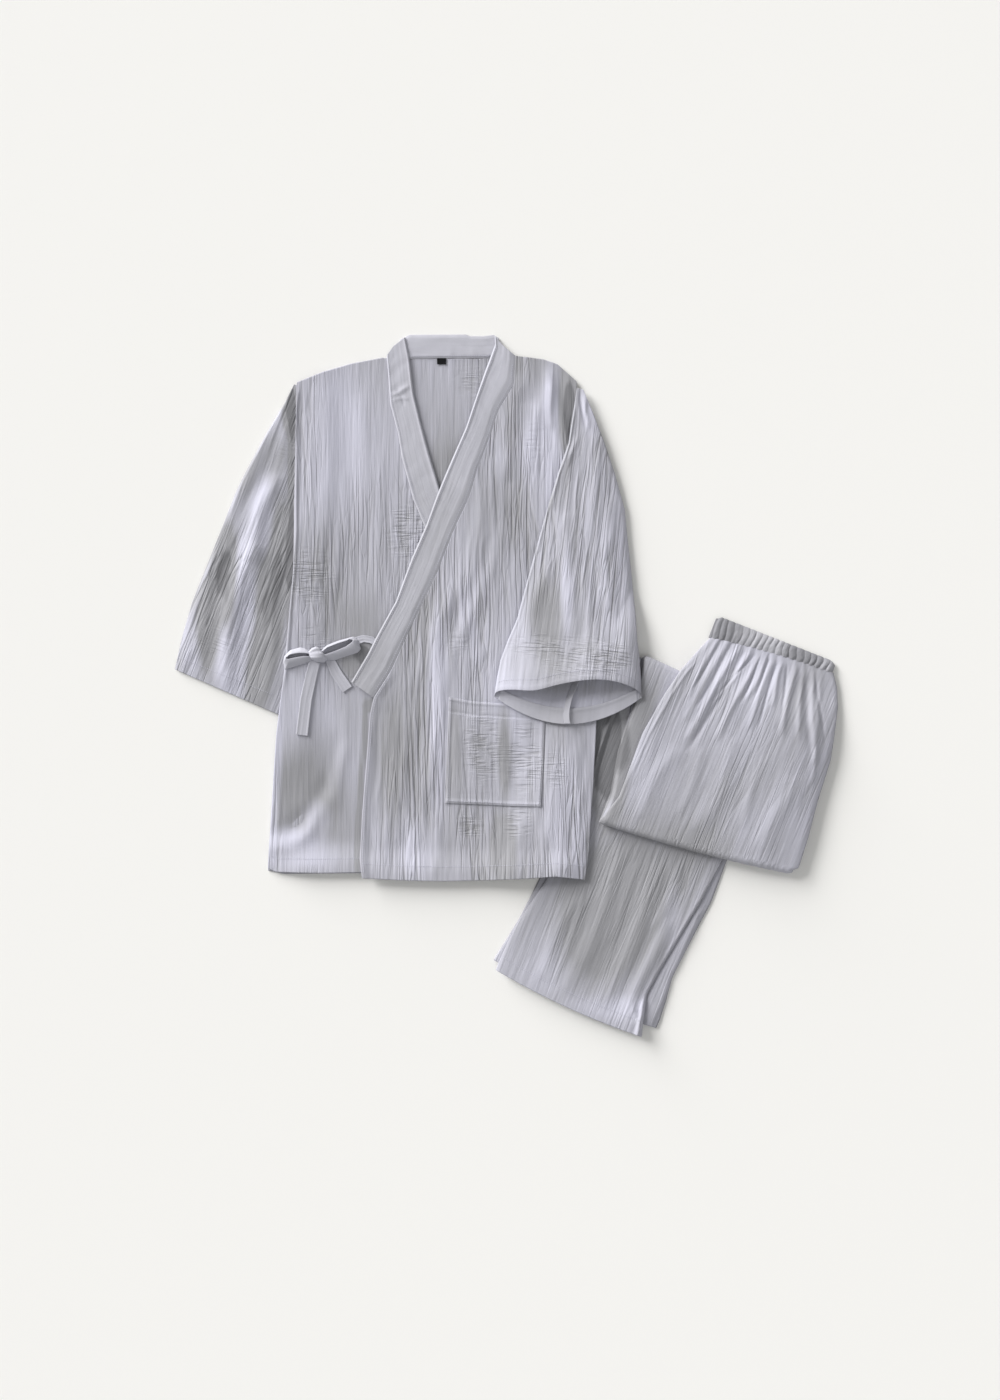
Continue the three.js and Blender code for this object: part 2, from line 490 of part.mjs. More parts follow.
function addLeftSleeve() {
  const { columns, rows } = LEFT_SLEEVE_GRID;
  const value = (down, column) => read(LEFT_SLEEVE, 'along', down, column);
  const place = (across, down, push) => {
    const x = mix(value(down, 'leftX'), value(down, 'rightX'), across);
    const y = mix(value(down, 'leftY'), value(down, 'rightY'), across) + push * bow(across);
    return [x, y];
  };
  const lowerAt = (across, down, raise) => {
    const [x, y] = place(across, down, -value(down, 'forward'));
    return [x, y, sleeveRest(x, y) + SLEEVE_CLEAR + raise];
  };
  const upperAt = (across, down, sink) => {
    const [x, y] = place(across, down, value(down, 'back'));
    const crown = (value(down, 'height') - FLAT_TUBE) * Math.pow(bow(across), 0.75);
    return [x, y, sleeveRest(x, y) + SLEEVE_CLEAR + FLAT_TUBE + crown - sink];
  };
  const outer = slab(columns, rows, (a, d) => lowerAt(a, d, 0), (a, d) => upperAt(a, d, 0));

  // The hollow starts where the sleeve is open enough; its last row runs out past the hem
  const toHem = CUFF_HOLLOW.rows / (CUFF_HOLLOW.rows - 1);
  const along = (d) => Math.min(1, mix(CUFF_HOLLOW.from, 1, d * toHem));
  const across = (a) => mix(CUFF_HOLLOW.inset, 1 - CUFF_HOLLOW.inset, a);
  const beyond = ([x, y, z], d) => [x, y - (d === 1 ? CUFF_HOLLOW.past : 0), z];
  const hollow = slab(columns, CUFF_HOLLOW.rows,
    (a, d) => beyond(lowerAt(across(a), along(d), WALL), d),
    (a, d) => beyond(upperAt(across(a), along(d), WALL), d));
  addPiece('left_sleeve', CLOTH, toGeometry(toSolid(outer).subtract(toSolid(hollow))));
}

// A ribbon of the bow follows its middle line on the cloth below; a loop is puffed up
function addRibbon({ name, bed, crown, line }) {
  const steps = TIE_GRID.rowsPerStretch * (line.length - 1);
  const rows = line.map((row, n) => ({ ...row, along: n / (line.length - 1) }));
  const place = (across, down) => {
    const ahead = Math.min(1, down + 0.1);
    const behind = Math.max(0, down - 0.1);
    const dx = read(rows, 'along', ahead, 'x') - read(rows, 'along', behind, 'x');
    const dy = read(rows, 'along', ahead, 'y') - read(rows, 'along', behind, 'y');
    const side = (2 * across - 1) * read(rows, 'along', down, 'half') / Math.hypot(dx, dy);
    return [read(rows, 'along', down, 'x') - dy * side, read(rows, 'along', down, 'y') + dx * side];
  };
  const lift = ([x, y], height) => [x, y, onBody(rightFrontTop, x, y) + height];
  const swell = (across, down) => Math.sqrt(bow(across) * bow(mix(0.08, 0.92, down)));
  const puff = (across, down) => mix(TIE_WALL, crown, swell(across, down));
  addPiece(name, CLOTH_LIGHT, slab(TIE_GRID.columns, steps,
    (a, d) => lift(place(a, d), bed),
    (a, d) => lift(place(a, d), bed + puff(a, d))));
}

function addKnot() {
  const place = (across, down) => {
    const round = (f, g) => (2 * f - 1) * Math.sqrt(1 - 0.5 * (2 * g - 1) ** 2);
    return [KNOT.x + KNOT.halfX * round(across, down), KNOT.y - KNOT.halfY * round(down, across)];
  };
  const base = onBody(rightFrontTop, KNOT.x, KNOT.y) + TIE_STEP;
  addPiece('tie_knot', CLOTH_LIGHT, slab(KNOT.grid, KNOT.grid,
    (a, d) => [...place(a, d), base],
    (a, d) => [...place(a, d), base + KNOT.edge + KNOT.rise * Math.sqrt(bow(a) * bow(d))]));
}

// A point of the trousers' own plane on the floor
function onFloor(across, down, z) {
  const cos = Math.cos(TROUSERS.turn);
  const sin = Math.sin(TROUSERS.turn);
  return [TROUSERS.x + across * cos - down * sin, TROUSERS.y - across * sin - down * cos, z];
}

// How far the cloth sinks where the segments below it end: beyond their top fold and beside them
function sinkOf(segment, across, down) {
  const pastLower = across - read(LOWER_SEGMENT, 'down', down, 'underRight');
  const besideLower = 2 * LEG_PITCH * smooth(SINK_BESIDE_LOWER, pastLower);
  if (segment === 'middle') return besideLower;
  const pastMiddle = across - read(MIDDLE_SEGMENT, 'down', down, 'right');
  const beside = besideLower + 2 * LEG_PITCH * smooth(SINK_BESIDE_MIDDLE, pastMiddle);
  const foldAt = mix(TOP_FOLD.left, TOP_FOLD.right, (across - TOP_FOLD.across) / TOP_FOLD.width);
  const above = SINK_ABOVE_FOLD.share * (1 - smooth(SINK_ABOVE_FOLD.slope, down - foldAt));
  const whole = 4 * LEG_PITCH;
  return whole * (1 - (1 - beside / whole) * (1 - above));
}

// Stations of a folded leg from the waist to the hem: which segment each is in, how far down it,
// and where it is in the turn of a fold. Levels count the flat legs from the floor
function legStations(levels) {
  const stations = [];
  const segment = (name, places) => {
    places.forEach((f) => stations.push({ name, level: levels[name], f }));
  };
  const fold = (name, from, to) => {
    FOLD_TURNS.forEach((turn) => stations.push({ name, from, to, turn }));
  };
  const evenly = (steps) => Array.from({ length: steps + 1 }, (_, n) => n / steps);
  segment('top', TOP_STATIONS);
  fold('lowerFold', levels.top, levels.middle);
  segment('middle', evenly(SEGMENT_ROWS.middle).toReversed());
  fold('topFold', levels.middle, levels.lower);
  segment('lower', evenly(SEGMENT_ROWS.lower));
  return stations;
}

function addLeg(name, columns, levels, leg) {
  const stations = legStations(levels);
  const half = LEG_WALL / 2;
  const outermost = (3 * LEG_PITCH) / 2 + half;
  const levelZ = (level) => level * LEG_PITCH + half;

  // Where each segment starts and ends at one place across; the folds turn between these
  const topEnd = (a) => mix(TOP_FOLD.left, TOP_FOLD.right, a) + outermost;
  const lowerFoldAt = (a) => mix(LOWER_FOLD.left, LOWER_FOLD.right, a) + LOWER_FOLD.bow * bow(a);
  const lowerEnd = (a) => lowerFoldAt(a) - outermost;
  const waistEnd = (a) => mix(WAIST_SEAM.left, WAIST_SEAM.right, a) - WAIST_SEAM.bow * bow(a);
  const hemEnd = (a) => mix(LEG_HEM[leg.hemLeft], LEG_HEM[leg.hemRight], a) + LEG_HEM.bow * bow(a);
  const segments = {
    top: { table: TOP_SEGMENT, start: waistEnd, end: lowerEnd, left: 'left', right: 'right' },
    middle: { table: MIDDLE_SEGMENT, start: topEnd, end: lowerEnd, left: 'left', right: 'right' },
    lower: { table: LOWER_SEGMENT, start: topEnd, end: hemEnd, left: leg.left, right: leg.right },
  };

  const acrossAt = ({ table, left, right }, a, down) => {
    const from = read(table, 'down', down, left) + leg.narrow;
    const to = read(table, 'down', down, right) - leg.narrow;
    return mix(from, to, a);
  };

  // Middle of the wall at a station, and the way its outer side faces in the plane of the folds
  const flatPoint = (a, { name: segmentName, level, f }) => {
    const segment = segments[segmentName];
    const down = mix(segment.start(a), segment.end(a), f);
    const across = acrossAt(segment, a, down);
    const sink = segmentName === 'lower' ? 0 : sinkOf(segmentName, across, down);
    return { across, down, z: levelZ(level) - sink, outDown: 0, outZ: segmentName === 'middle' ? -1 : 1 };
  };
  const foldPoint = (a, { name: foldName, from, to, turn }) => {
    const atLowerFold = foldName === 'lowerFold';
    const centreDown = atLowerFold ? lowerEnd(a) : topEnd(a);
    const across = acrossAt(segments.middle, a, centreDown);
    const radius = (Math.abs(from - to) * LEG_PITCH) / 2;
    const centreZ = (levelZ(from) + levelZ(to)) / 2 - sinkOf('middle', across, centreDown);
    const sin = Math.sin(THREE.MathUtils.degToRad(turn));
    const cos = Math.cos(THREE.MathUtils.degToRad(turn));
    const way = atLowerFold ? 1 : -1;
    const down = centreDown + way * radius * sin;
    return { across, down, z: centreZ + radius * cos, outDown: sin, outZ: way * cos };
  };

  // Pleats and soft folds stand on the outer side, where nothing lies on it
  const relief = (a, station, point) => {
    if (!leg.onTop) return 0;
    const edge = smooth([0, PLAIN_AT_SIDES], a) * smooth([0, PLAIN_AT_SIDES], 1 - a);
    if (station.name === 'top') {
      const clear = 1 - smooth(PLAIN_AT_FOLD, point.down);
      return edge * clear * foldHeight([...WAIST_PLEATS, ...LEG_FOLDS], point.across, point.down);
    }
    if (station.name === 'lower') {
      const rightOfJacket = smooth(SHIN_BESIDE_JACKET.across, point.across);
      const besideJacket = smooth(SHIN_BESIDE_JACKET.down, point.down) * rightOfJacket;
      const clear = Math.max(besideJacket, smooth(SHIN_BELOW_JACKET, point.down));
      return edge * clear * foldHeight(SHIN_FOLDS, point.across, point.down);
    }
    return 0;
  };

  const surface = (side) => (a, b) => {
    const station = stations[Math.round(b * (stations.length - 1))];
    const point = 'turn' in station ? foldPoint(a, station) : flatPoint(a, station);
    const thin = half * mix(0.5, 1, Math.min(1, bow(a) * 8));
    const out = side * thin + (side > 0 ? relief(a, station, point) : 0);
    return onFloor(point.across, point.down + out * point.outDown, point.z + out * point.outZ);
  };
  addPiece(name, leg.colour, slab(columns, stations.length - 1, surface(-1), surface(1)));
}

// The elastic waistband, drawn in to even gathers, lies on the floor above the legs
function addWaistband() {
  const { left, right, top, shoulder, gathers, height, ridge, scallop, endHeight, steps, rows } = WAISTBAND;
  const wave = (a) => Math.cos(2 * Math.PI * gathers * a);
  const place = (a, d) => {
    const across = mix(left, right, a);
    const seam = mix(WAIST_SEAM.left, WAIST_SEAM.right, a) - WAIST_SEAM.bow * bow(a) - SEAM_GAP;
    const start = top + shoulder * (1 - Math.min(1, bow(a) * 6));
    return [across, mix(start, seam, d)];
  };
  const upper = (a, d) => {
    const [across, down] = place(a, d);
    const round = Math.sqrt(bow(mix(0.06, 0.94, d))) * Math.min(1, endHeight + bow(a) * 5);
    return onFloor(across, down + scallop * wave(a) * (1 - d), round * (height + ridge * wave(a)));
  };
  const lower = (a, d) => onFloor(...place(a, d), 0);
  addPiece('trouser_waistband', CLOTH_LIGHT, slab(gathers * steps, rows, lower, upper));
}

addJacketBody();
addRightSleeve();
addLeftSleeve();
RIBBONS.forEach(addRibbon);
addKnot();
addLeg('trouser_left_leg', LEG_COLUMNS.upper, { top: 5, middle: 2, lower: 1 },
  { onTop: true, colour: CLOTH, left: 'left', right: 'right', hemLeft: 'left', hemRight: 'right', narrow: 0 });
addLeg('trouser_right_leg', LEG_COLUMNS.under, { top: 4, middle: 3, lower: 0 },
  { onTop: false, colour: CLOTH_SHADE, left: 'underLeft', right: 'underRight', hemLeft: 'underLeft',
    hemRight: 'underRight', narrow: 2 });
addWaistband();

export default set;
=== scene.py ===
import math

import bmesh
import bpy
import numpy as np
from mathutils import Matrix, Vector


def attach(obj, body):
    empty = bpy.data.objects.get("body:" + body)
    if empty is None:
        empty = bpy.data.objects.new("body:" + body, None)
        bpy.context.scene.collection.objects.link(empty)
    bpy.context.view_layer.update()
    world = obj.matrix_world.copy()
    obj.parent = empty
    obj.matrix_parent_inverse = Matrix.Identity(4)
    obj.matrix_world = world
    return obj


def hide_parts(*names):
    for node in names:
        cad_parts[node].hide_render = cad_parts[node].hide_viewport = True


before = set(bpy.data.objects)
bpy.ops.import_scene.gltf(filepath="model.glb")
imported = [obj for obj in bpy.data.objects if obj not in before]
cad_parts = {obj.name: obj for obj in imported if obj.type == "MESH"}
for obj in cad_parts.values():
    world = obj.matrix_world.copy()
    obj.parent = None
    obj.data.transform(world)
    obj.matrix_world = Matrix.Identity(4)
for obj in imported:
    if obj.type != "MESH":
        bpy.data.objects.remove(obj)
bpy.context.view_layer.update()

# Camera, floor and light
# The set lies on a pale floor and is seen from straight above. Soft light comes from the upper
# left, low enough to bring out the creases, with a weak fill from the other side.
PHOTO_CENTRE = (-0.0084, -0.0203)
PHOTO_LONG_SIDE = 1.96
CAMERA_HEIGHT = 3.0
SENSOR = 36.0

camera_data = bpy.data.cameras.new("photo_camera")
camera_data.sensor_width = SENSOR
camera_data.lens = SENSOR * CAMERA_HEIGHT / PHOTO_LONG_SIDE
camera = bpy.data.objects.new("photo_camera", camera_data)
camera.location = (*PHOTO_CENTRE, CAMERA_HEIGHT)
bpy.context.collection.objects.link(camera)
bpy.context.scene.camera = camera
bpy.context.scene.view_settings.view_transform = "Standard"


def add_sun(name, direction, softness, strength, colour):
    """A distant soft lamp; direction is where its light comes from."""
    data = bpy.data.lights.new(name, "SUN")
    data.angle = math.radians(softness)
    data.energy = strength
    data.color = colour
    light = bpy.data.objects.new(name, data)
    light.rotation_euler = Vector(direction).to_track_quat("Z", "Y").to_euler()
    bpy.context.collection.objects.link(light)


add_sun("key_light", (-0.90, 0.68, 0.55), 26, 2.8, (1.0, 0.99, 0.985))
add_sun("low_light", (-0.6, 0.8, 0.17), 26, 2.5, (1.0, 0.99, 0.985))
add_sun("fill_light", (0.5, -0.9, 1.2), 60, 0.35, (0.97, 0.98, 1.0))
world = bpy.data.worlds.new("studio")
world.use_nodes = True
world.node_tree.nodes["Background"].inputs["Color"].default_value = (1.0, 1.0, 0.99, 1)
world.node_tree.nodes["Background"].inputs["Strength"].default_value = 0.36
bpy.context.scene.world = world


def object_from(form, name):
    """Puts a finished form into the scene as an object of its own."""
    mesh = bpy.data.meshes.new(name)
    form.to_mesh(mesh)
    form.free()
    piece = bpy.data.objects.new(name, mesh)
    bpy.context.collection.objects.link(piece)
    return piece


floor_form = bmesh.new()
bmesh.ops.create_grid(floor_form, x_segments=1, y_segments=1, size=4)
floor = object_from(floor_form, "floor")
floor.location.z = -0.0004
floor_material = bpy.data.materials.new("floor_paper")
floor_material.use_nodes = True
floor_shader = floor_material.node_tree.nodes["Principled BSDF"]
floor_shader.inputs["Base Color"].default_value = (0.94, 0.935, 0.91, 1)
floor_shader.inputs["Roughness"].default_value = 0.9
floor.data.materials.append(floor_material)

# Jacket back
# One wide panel of crinkled double gauze from hem to neck, the lowest layer of the jacket. It
# shows in the neck opening and as a sliver along the hem; both sides are sewn to the fronts.
MM = 0.001
WALL = 1.1
FLAT_SLEEVE = 3.6
LEG_PAIR = 7.2
BODY_LEFT = [
    (-266, -333), (-237, -332), (-202, -330), (-135, -326), (-68, -321), (-30, -318), (19, -310),
    (92, -304), (163, -297), (218, -295), (383, -295), (423, -292), (500, -292)
]
BODY_RIGHT = [
    (-271, 110), (-237, 115), (-202, 120), (-135, 122), (-68, 124), (-30, 127), (19, 127), (92, 124),
    (163, 119), (218, 113), (383, 99), (423, 99), (500, 99)
]
LOWER_LEG_LEFT = [
    (-400, -15), (-325, 19), (-270, 56), (-188, 82), (-104, 115), (-36, 145), (47, 183), (200, 300)
]


def at(table, place):
    """Reads a table of (place, value) rows, rising in place."""
    rows = np.array(table, dtype=float)
    return np.interp(place, rows[:, 0], rows[:, 1])


def ramp(low, high, value):
    """Rises smoothly from 0 at low to 1 at high."""
    f = np.clip((value - low) / (high - low), 0, 1)
    return f * f * (3 - 2 * f)


def mix(a, b, f):
    return a + (b - a) * f


def noise(u, v, seed):
    """Smooth noise from 0 to 1 that changes over one unit of u or v."""
    table = np.random.default_rng(seed).random((128, 128))
    i, j = np.floor(u).astype(int), np.floor(v).astype(int)
    fu, fv = u - i, v - j
    fu, fv = fu * fu * (3 - 2 * fu), fv * fv * (3 - 2 * fv)

    def corner(di, dj):
        return table[(i + di) % 128, (j + dj) % 128]

    return mix(mix(corner(0, 0), corner(1, 0), fu), mix(corner(0, 1), corner(1, 1), fu), fv)


def crinkle(u, v, seed):
    """Height in mm of the gauze's crinkle: thin crests that wander along the grain, v."""
    def crest(pattern):
        return 1 - np.abs(2 * pattern - 1)

    wander = 5 * (noise(u / 34, v / 56, seed) - 0.5)
    broad = crest(noise((u + wander) / 12, v / 90, seed + 1)) ** 2
    fine = crest(noise((u + wander) / 6.2, v / 60, seed + 2)) ** 1.5
    across = crest(noise(u / 26, v / 11, seed + 3)) ** 2
    patch = noise(u / 60, v / 60, seed + 4)
    return 0.9 * broad + 0.8 * fine + 0.35 * across * patch


def spots(table, x, y):
    """Soft-edged areas: rows of x, y, half width, half height and amount."""
    total = np.zeros_like(x)
    for spot_x, spot_y, half_x, half_y, amount in table:
        away = np.sqrt(((x - spot_x) / half_x) ** 2 + ((y - spot_y) / half_y) ** 2)
        total += amount * (1 - ramp(0.3, 1.6, away))
    return total


def creasing(areas, x, y):
    return np.clip(areas.get("base", 0.65) + spots(areas["creased"], x, y), 0.0, 1.3)


SIDE_STEP = 0.7
END_STEP = 0.2


def near_edges(f, steps, share):
    """Moves the outermost grid lines to a share of a step from the edges, so that these are crisp."""
    first = 1 / steps
    f = np.where(np.abs(f - first) < 1e-5, share * first, f)
    return np.where(np.abs(f - 1 + first) < 1e-5, 1 - share * first, f)


def sheet_object(name, columns, rows, place, areas, thickness=WALL):
    """A grid of cloth: place(a, b) gives x, y, z, u, v in mm, with a to the right and b down.
    Its UV map is the cloth's own plan in metres, turned so that v runs along the grain. The areas
    say where the cloth is more creased, creased both ways, and where its colour is lighter or
    darker: random tone, and in places painted shade and painted highlights."""
    form = bmesh.new()
    bmesh.ops.create_grid(form, x_segments=columns, y_segments=rows, size=0.5)
    form.verts.ensure_lookup_table()
    flat = np.array([vert.co[:2] for vert in form.verts])
    a, b = near_edges(flat[:, 0] + 0.5, columns, SIDE_STEP), near_edges(0.5 - flat[:, 1], rows, END_STEP)
    placed = place(a, b)
    x, y, z = placed[:3]
    for vert, point in zip(form.verts, np.stack([x, y, z], axis=1) * MM):
        vert.co = point
    u, v = placed[3:] if len(placed) > 3 else (x, y)
    layer = form.loops.layers.uv.new("cloth")
    for face in form.faces:
        face.smooth = True
        for loop in face.loops:
            loop[layer].uv = (u[loop.vert.index] * MM, v[loop.vert.index] * MM)
    piece = object_from(form, name)
    # The third attribute carries random tone together with painted shade and painted highlights.
    for key, values in (("creasing", creasing(areas, x, y)), ("crossing", spots(areas["crossed"], x, y)),
                        ("tone_and_painted_light_level", spots(areas["tone_and_painted_light"], x, y))):
        attribute = piece.data.attributes.new(key, "FLOAT", "POINT")
        attribute.data.foreach_set("value", values.astype(np.float32))
    wall = piece.modifiers.new("wall", "SOLIDIFY")
    wall.thickness = thickness * MM
    wall.offset = -1
    return piece


def along(points, f):
    """A place on a line of points, from 0 to 1 along its length."""
    line = np.array(points, dtype=float)
    reach = np.concatenate([[0], np.cumsum(np.hypot(*np.diff(line, axis=0).T))])
    return np.stack([np.interp(f * reach[-1], reach, line[:, k]) for k in (0, 1)])


def patch(left, right, top, bottom):
    """Spreads a grid between four edges: left and right run down, top and bottom to the right."""
    def spread(a, b):
        sides = mix(along(left, b), along(right, b), a)
        ends = mix(along(top, a), along(bottom, a), b)
        corners = mix(mix(along(top, a * 0), along(top, a * 0 + 1), a),
                      mix(along(bottom, a * 0), along(bottom, a * 0 + 1), a), b)
        return sides + ends - corners
    return spread


def cloth_material(name, shade, light, crinkle_depth, creased=1.0, sheen=0.15):
    """Matte gauze on the cloth's UV map: long pressed-in creases along the grain, patches where
    they cross, a plain weave, and slow changes between a greyer and a lighter lavender. The crease
    lines are also darkened as painted shade and the raised ribs lightened as a painted highlight."""
    material = bpy.data.materials.new(name)
    material.use_nodes = True
    nodes, links = material.node_tree.nodes, material.node_tree.links
    shader = nodes["Principled BSDF"]
    shader.inputs["Roughness"].default_value = 0.9
    shader.inputs["Sheen Weight"].default_value = sheen
    shader.inputs["Sheen Roughness"].default_value = 0.5
    shader.inputs["Specular IOR Level"].default_value = 0.2
    uv = nodes.new("ShaderNodeUVMap")
    uv.uv_map = "cloth"

    def texture(kind, scale_across, scale_along, shift=0.0, **settings):
        mapping = nodes.new("ShaderNodeMapping")
        mapping.inputs["Location"].default_value = (shift, 0.7 * shift, 0)
        mapping.inputs["Scale"].default_value = (scale_across, scale_along, 1)
        links.new(uv.outputs["UV"], mapping.inputs["Vector"])
        node = nodes.new(kind)
        links.new(mapping.outputs["Vector"], node.inputs["Vector"])
        for key, value in settings.items():
            node.inputs[key].default_value = value
        return node.outputs["Fac"]

    def streaks_of(scale_across, scale_along, shift, detail, distortion=0.0):
        return texture("ShaderNodeTexNoise", scale_across, scale_along, shift,
                       Scale=1.0, Detail=detail, Distortion=distortion)

    def combine(kind, first, second, clamp=False):
        node = nodes.new("ShaderNodeMath")
        node.operation = kind
        node.use_clamp = clamp
        for socket, value in zip(node.inputs, (first, second)):
            if isinstance(value, float):
                socket.default_value = value
            else:
                links.new(value, socket)
        return node.outputs["Value"]

    def crease_lines(pattern, thinness):
        """1 on thin wandering lines of a noise pattern, 0 between them."""
        off_line = combine("ABSOLUTE", combine("SUBTRACT", pattern, 0.5), 0.0)
        return combine("SUBTRACT", 1.0, combine("MULTIPLY", off_line, thinness), clamp=True)

    def area_of(pattern, start, slope):
        return combine("MULTIPLY", combine("SUBTRACT", pattern, start), slope, clamp=True)

    def own(key):
        node = nodes.new("ShaderNodeAttribute")
        node.attribute_name = key
        return node.outputs["Fac"]

    long_creases = crease_lines(streaks_of(88, 4.4, 3.1, 1.5, 0.5), 12.0)
    short_creases = crease_lines(streaks_of(140, 14, 7.7, 1.0, 0.6), 10.0)
    cross_creases = crease_lines(streaks_of(20, 200, 1.9, 1.0, 0.3), 7.0)
    creased_area = area_of(streaks_of(15, 4.5, 5.3, 1.0), 0.36, 4.0)
    creased_area = combine("MULTIPLY", creased_area, own("creasing"))
    crossed_area = area_of(streaks_of(60, 50, 9.1, 1.0), 0.32, 5.0)
    crossed_area = combine("MULTIPLY", crossed_area, own("crossing"))
    tone = streaks_of(8, 3.4, 2.2, 1.5)
    ribs = streaks_of(210, 12, 4.4, 2.0)
    threads = {"Scale": 420.0, "Distortion": 1.2}
    weave = combine("ADD", texture("ShaderNodeTexWave", 1, 0, **threads),
                    texture("ShaderNodeTexWave", 0, 1, 0.2, **threads))

    lines = combine("ADD", combine("MULTIPLY", long_creases, creased_area),
                    combine("MULTIPLY", short_creases, combine("MULTIPLY", creased_area, 0.5)))
    lines = combine("ADD", lines, combine("MULTIPLY", cross_creases, combine("MULTIPLY", crossed_area, 0.55)))
    height = combine("SUBTRACT", combine("MULTIPLY", ribs, 0.42), lines)

    colour = nodes.new("ShaderNodeValToRGB")
    # The darkest stop, 0.62 of the shade colour, is painted shade: the tone reaches it mostly where the
    # tables paint recesses dark, beside the jacket's edge and in the shoulder fold.
    colour.color_ramp.elements[0].position = 0.0
    colour.color_ramp.elements[0].color = (*(0.62 * part for part in shade), 1)
    for place in (0.08, 0.30):
        colour.color_ramp.elements.new(place).color = (*shade, 1)
    colour.color_ramp.elements[3].position = 0.66
    colour.color_ramp.elements[3].color = (*light, 1)
    # The tone attribute adds random tone and, where the tables say so, painted shade and painted highlights.
    tone = combine("ADD", combine("MULTIPLY", tone, 0.55), combine("MULTIPLY", own("tone_and_painted_light_level"), 0.2))
    tone = combine("ADD", tone, 0.13)
    # Streaky tone along the grain, also a painted highlight: the colour is lighter where the bump's ribs
    # stand up.
    rib_tone_and_highlight = combine("MULTIPLY", ribs, 0.16)
    # Painted shade: the colour is darkened along the crease lines that the bump presses in.
    painted_crease_shade = combine("MULTIPLY", lines, 0.17 * creased)
    toned = combine("SUBTRACT", combine("ADD", tone, rib_tone_and_highlight), painted_crease_shade)
    links.new(toned, colour.inputs["Fac"])
    links.new(colour.outputs["Color"], shader.inputs["Base Color"])

    crinkle_bump = nodes.new("ShaderNodeBump")
    crinkle_bump.inputs["Strength"].default_value = 1.0
    crinkle_bump.inputs["Distance"].default_value = crinkle_depth * creased
    links.new(height, crinkle_bump.inputs["Height"])
    weave_bump = nodes.new("ShaderNodeBump")
    weave_bump.inputs["Strength"].default_value = 0.5
    weave_bump.inputs["Distance"].default_value = 0.0001
    links.new(weave, weave_bump.inputs["Height"])
    links.new(crinkle_bump.outputs["Normal"], weave_bump.inputs["Normal"])
    links.new(weave_bump.outputs["Normal"], shader.inputs["Normal"])
    return material


GAUZE = cloth_material("gauze", (0.34, 0.34, 0.36), (0.59, 0.59, 0.685), 0.0017)
BAND_GAUZE = cloth_material("gauze_band", (0.44, 0.44, 0.475), (0.58, 0.58, 0.65), 0.0011, creased=0.14)
EVEN_CLOTH = {"creased": (), "crossed": (), "tone_and_painted_light": ()}


def finish_piece(piece, node, material):
    """Gives a piece its material, hangs it under the root body and hides the solid it stands for."""
    piece.data.materials.append(material)
    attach(piece, "root")
    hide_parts(node)


LEFT_SIDE = [(-292, 423.5), (-295, 300), (-297, 163), (-310, 19), (-321, -68), (-330, -202)]
RIGHT_SIDE = [(98.7, 425), (99, 383), (113, 218), (124, 92), (127, -30), (122, -135)]
LEFT_SHOULDER = [(-292, 423.5), (-256, 438), (-217, 450), (-172, 458.5)]


def back_underside(x, y):
    """The jacket's back lies on the floor, over the tucked sleeve and over the trousers' legs."""
    from_side = x - at(BODY_LEFT, y)
    over_sleeve = FLAT_SLEEVE * ramp(-160, -85, y) * (1 - ramp(26, 74, from_side))
    over_trousers = LEG_PAIR * ramp(-100, -42, x - at(LOWER_LEG_LEFT, y))
    return np.maximum(over_sleeve, over_trousers)


def place_back(a, b):
    x, y = patch([*LEFT_SIDE, (-333, -259)], [*RIGHT_SIDE, (110, -264)],
                 [*LEFT_SHOULDER, (-133.6, 456.5), (-22.7, 458), (52, 456), (72, 449), (98.7, 425)],
                 [(-333, -259), (-310, -263.6), (-200, -262.6), (-60, -262), (110, -264)])(a, b)
    return x, y, back_underside(x, y) + WALL + 0.28 * crinkle(x, y, 11)


BACK_AREAS = {
    "creased": [(-80, 380, 90, 100, -0.6)],
    "crossed": [(-50, 425, 20, 20, 0.5)],
    "tone_and_painted_light": [(-80, 400, 90, 90, -0.35), (-80, 290, 40, 50, -0.8)],
}
back = sheet_object("jacket_back_cloth", 150, 100, place_back, BACK_AREAS)
finish_piece(back, "jacket_back", GAUZE)

# Jacket right front
# The wearer's right front lies on the back and runs on under the other front; its sloping edge
# is sewn to the collar band and its hem is turned up and stitched.
LAYER = 2.0
RIGHT_SEAM = [(-166.6, 456), (-162, 393), (-151, 351), (-146, 318.5), (-130, 260), (-14, -17)]
RIGHT_FOLDS = [
    (-246, 410, -262, 130, 15, 1.5), (-196, 400, -214, 180, 13, 1.1), (-276, 380, -286, 60, 9, 0.9),
    (-226, 300, -238, 120, 9, 1.0), (-172, 330, -184, 120, 10, 0.9), (-226, -20, -232, -180, 8, 0.8),
    (-350, -214, -266, -182, 11, -1.3), (-300, -202, -246, -136, 11, -1.3),
    (-268, -164, -230, -70, 11, -1.0), (-350, -236, -262, -200, 11, 1.5), (-298, -222, -242, -156, 11, 1.4),
    (-260, -186, -220, -86, 11, 0.9)
]
HEM_TURN = 19
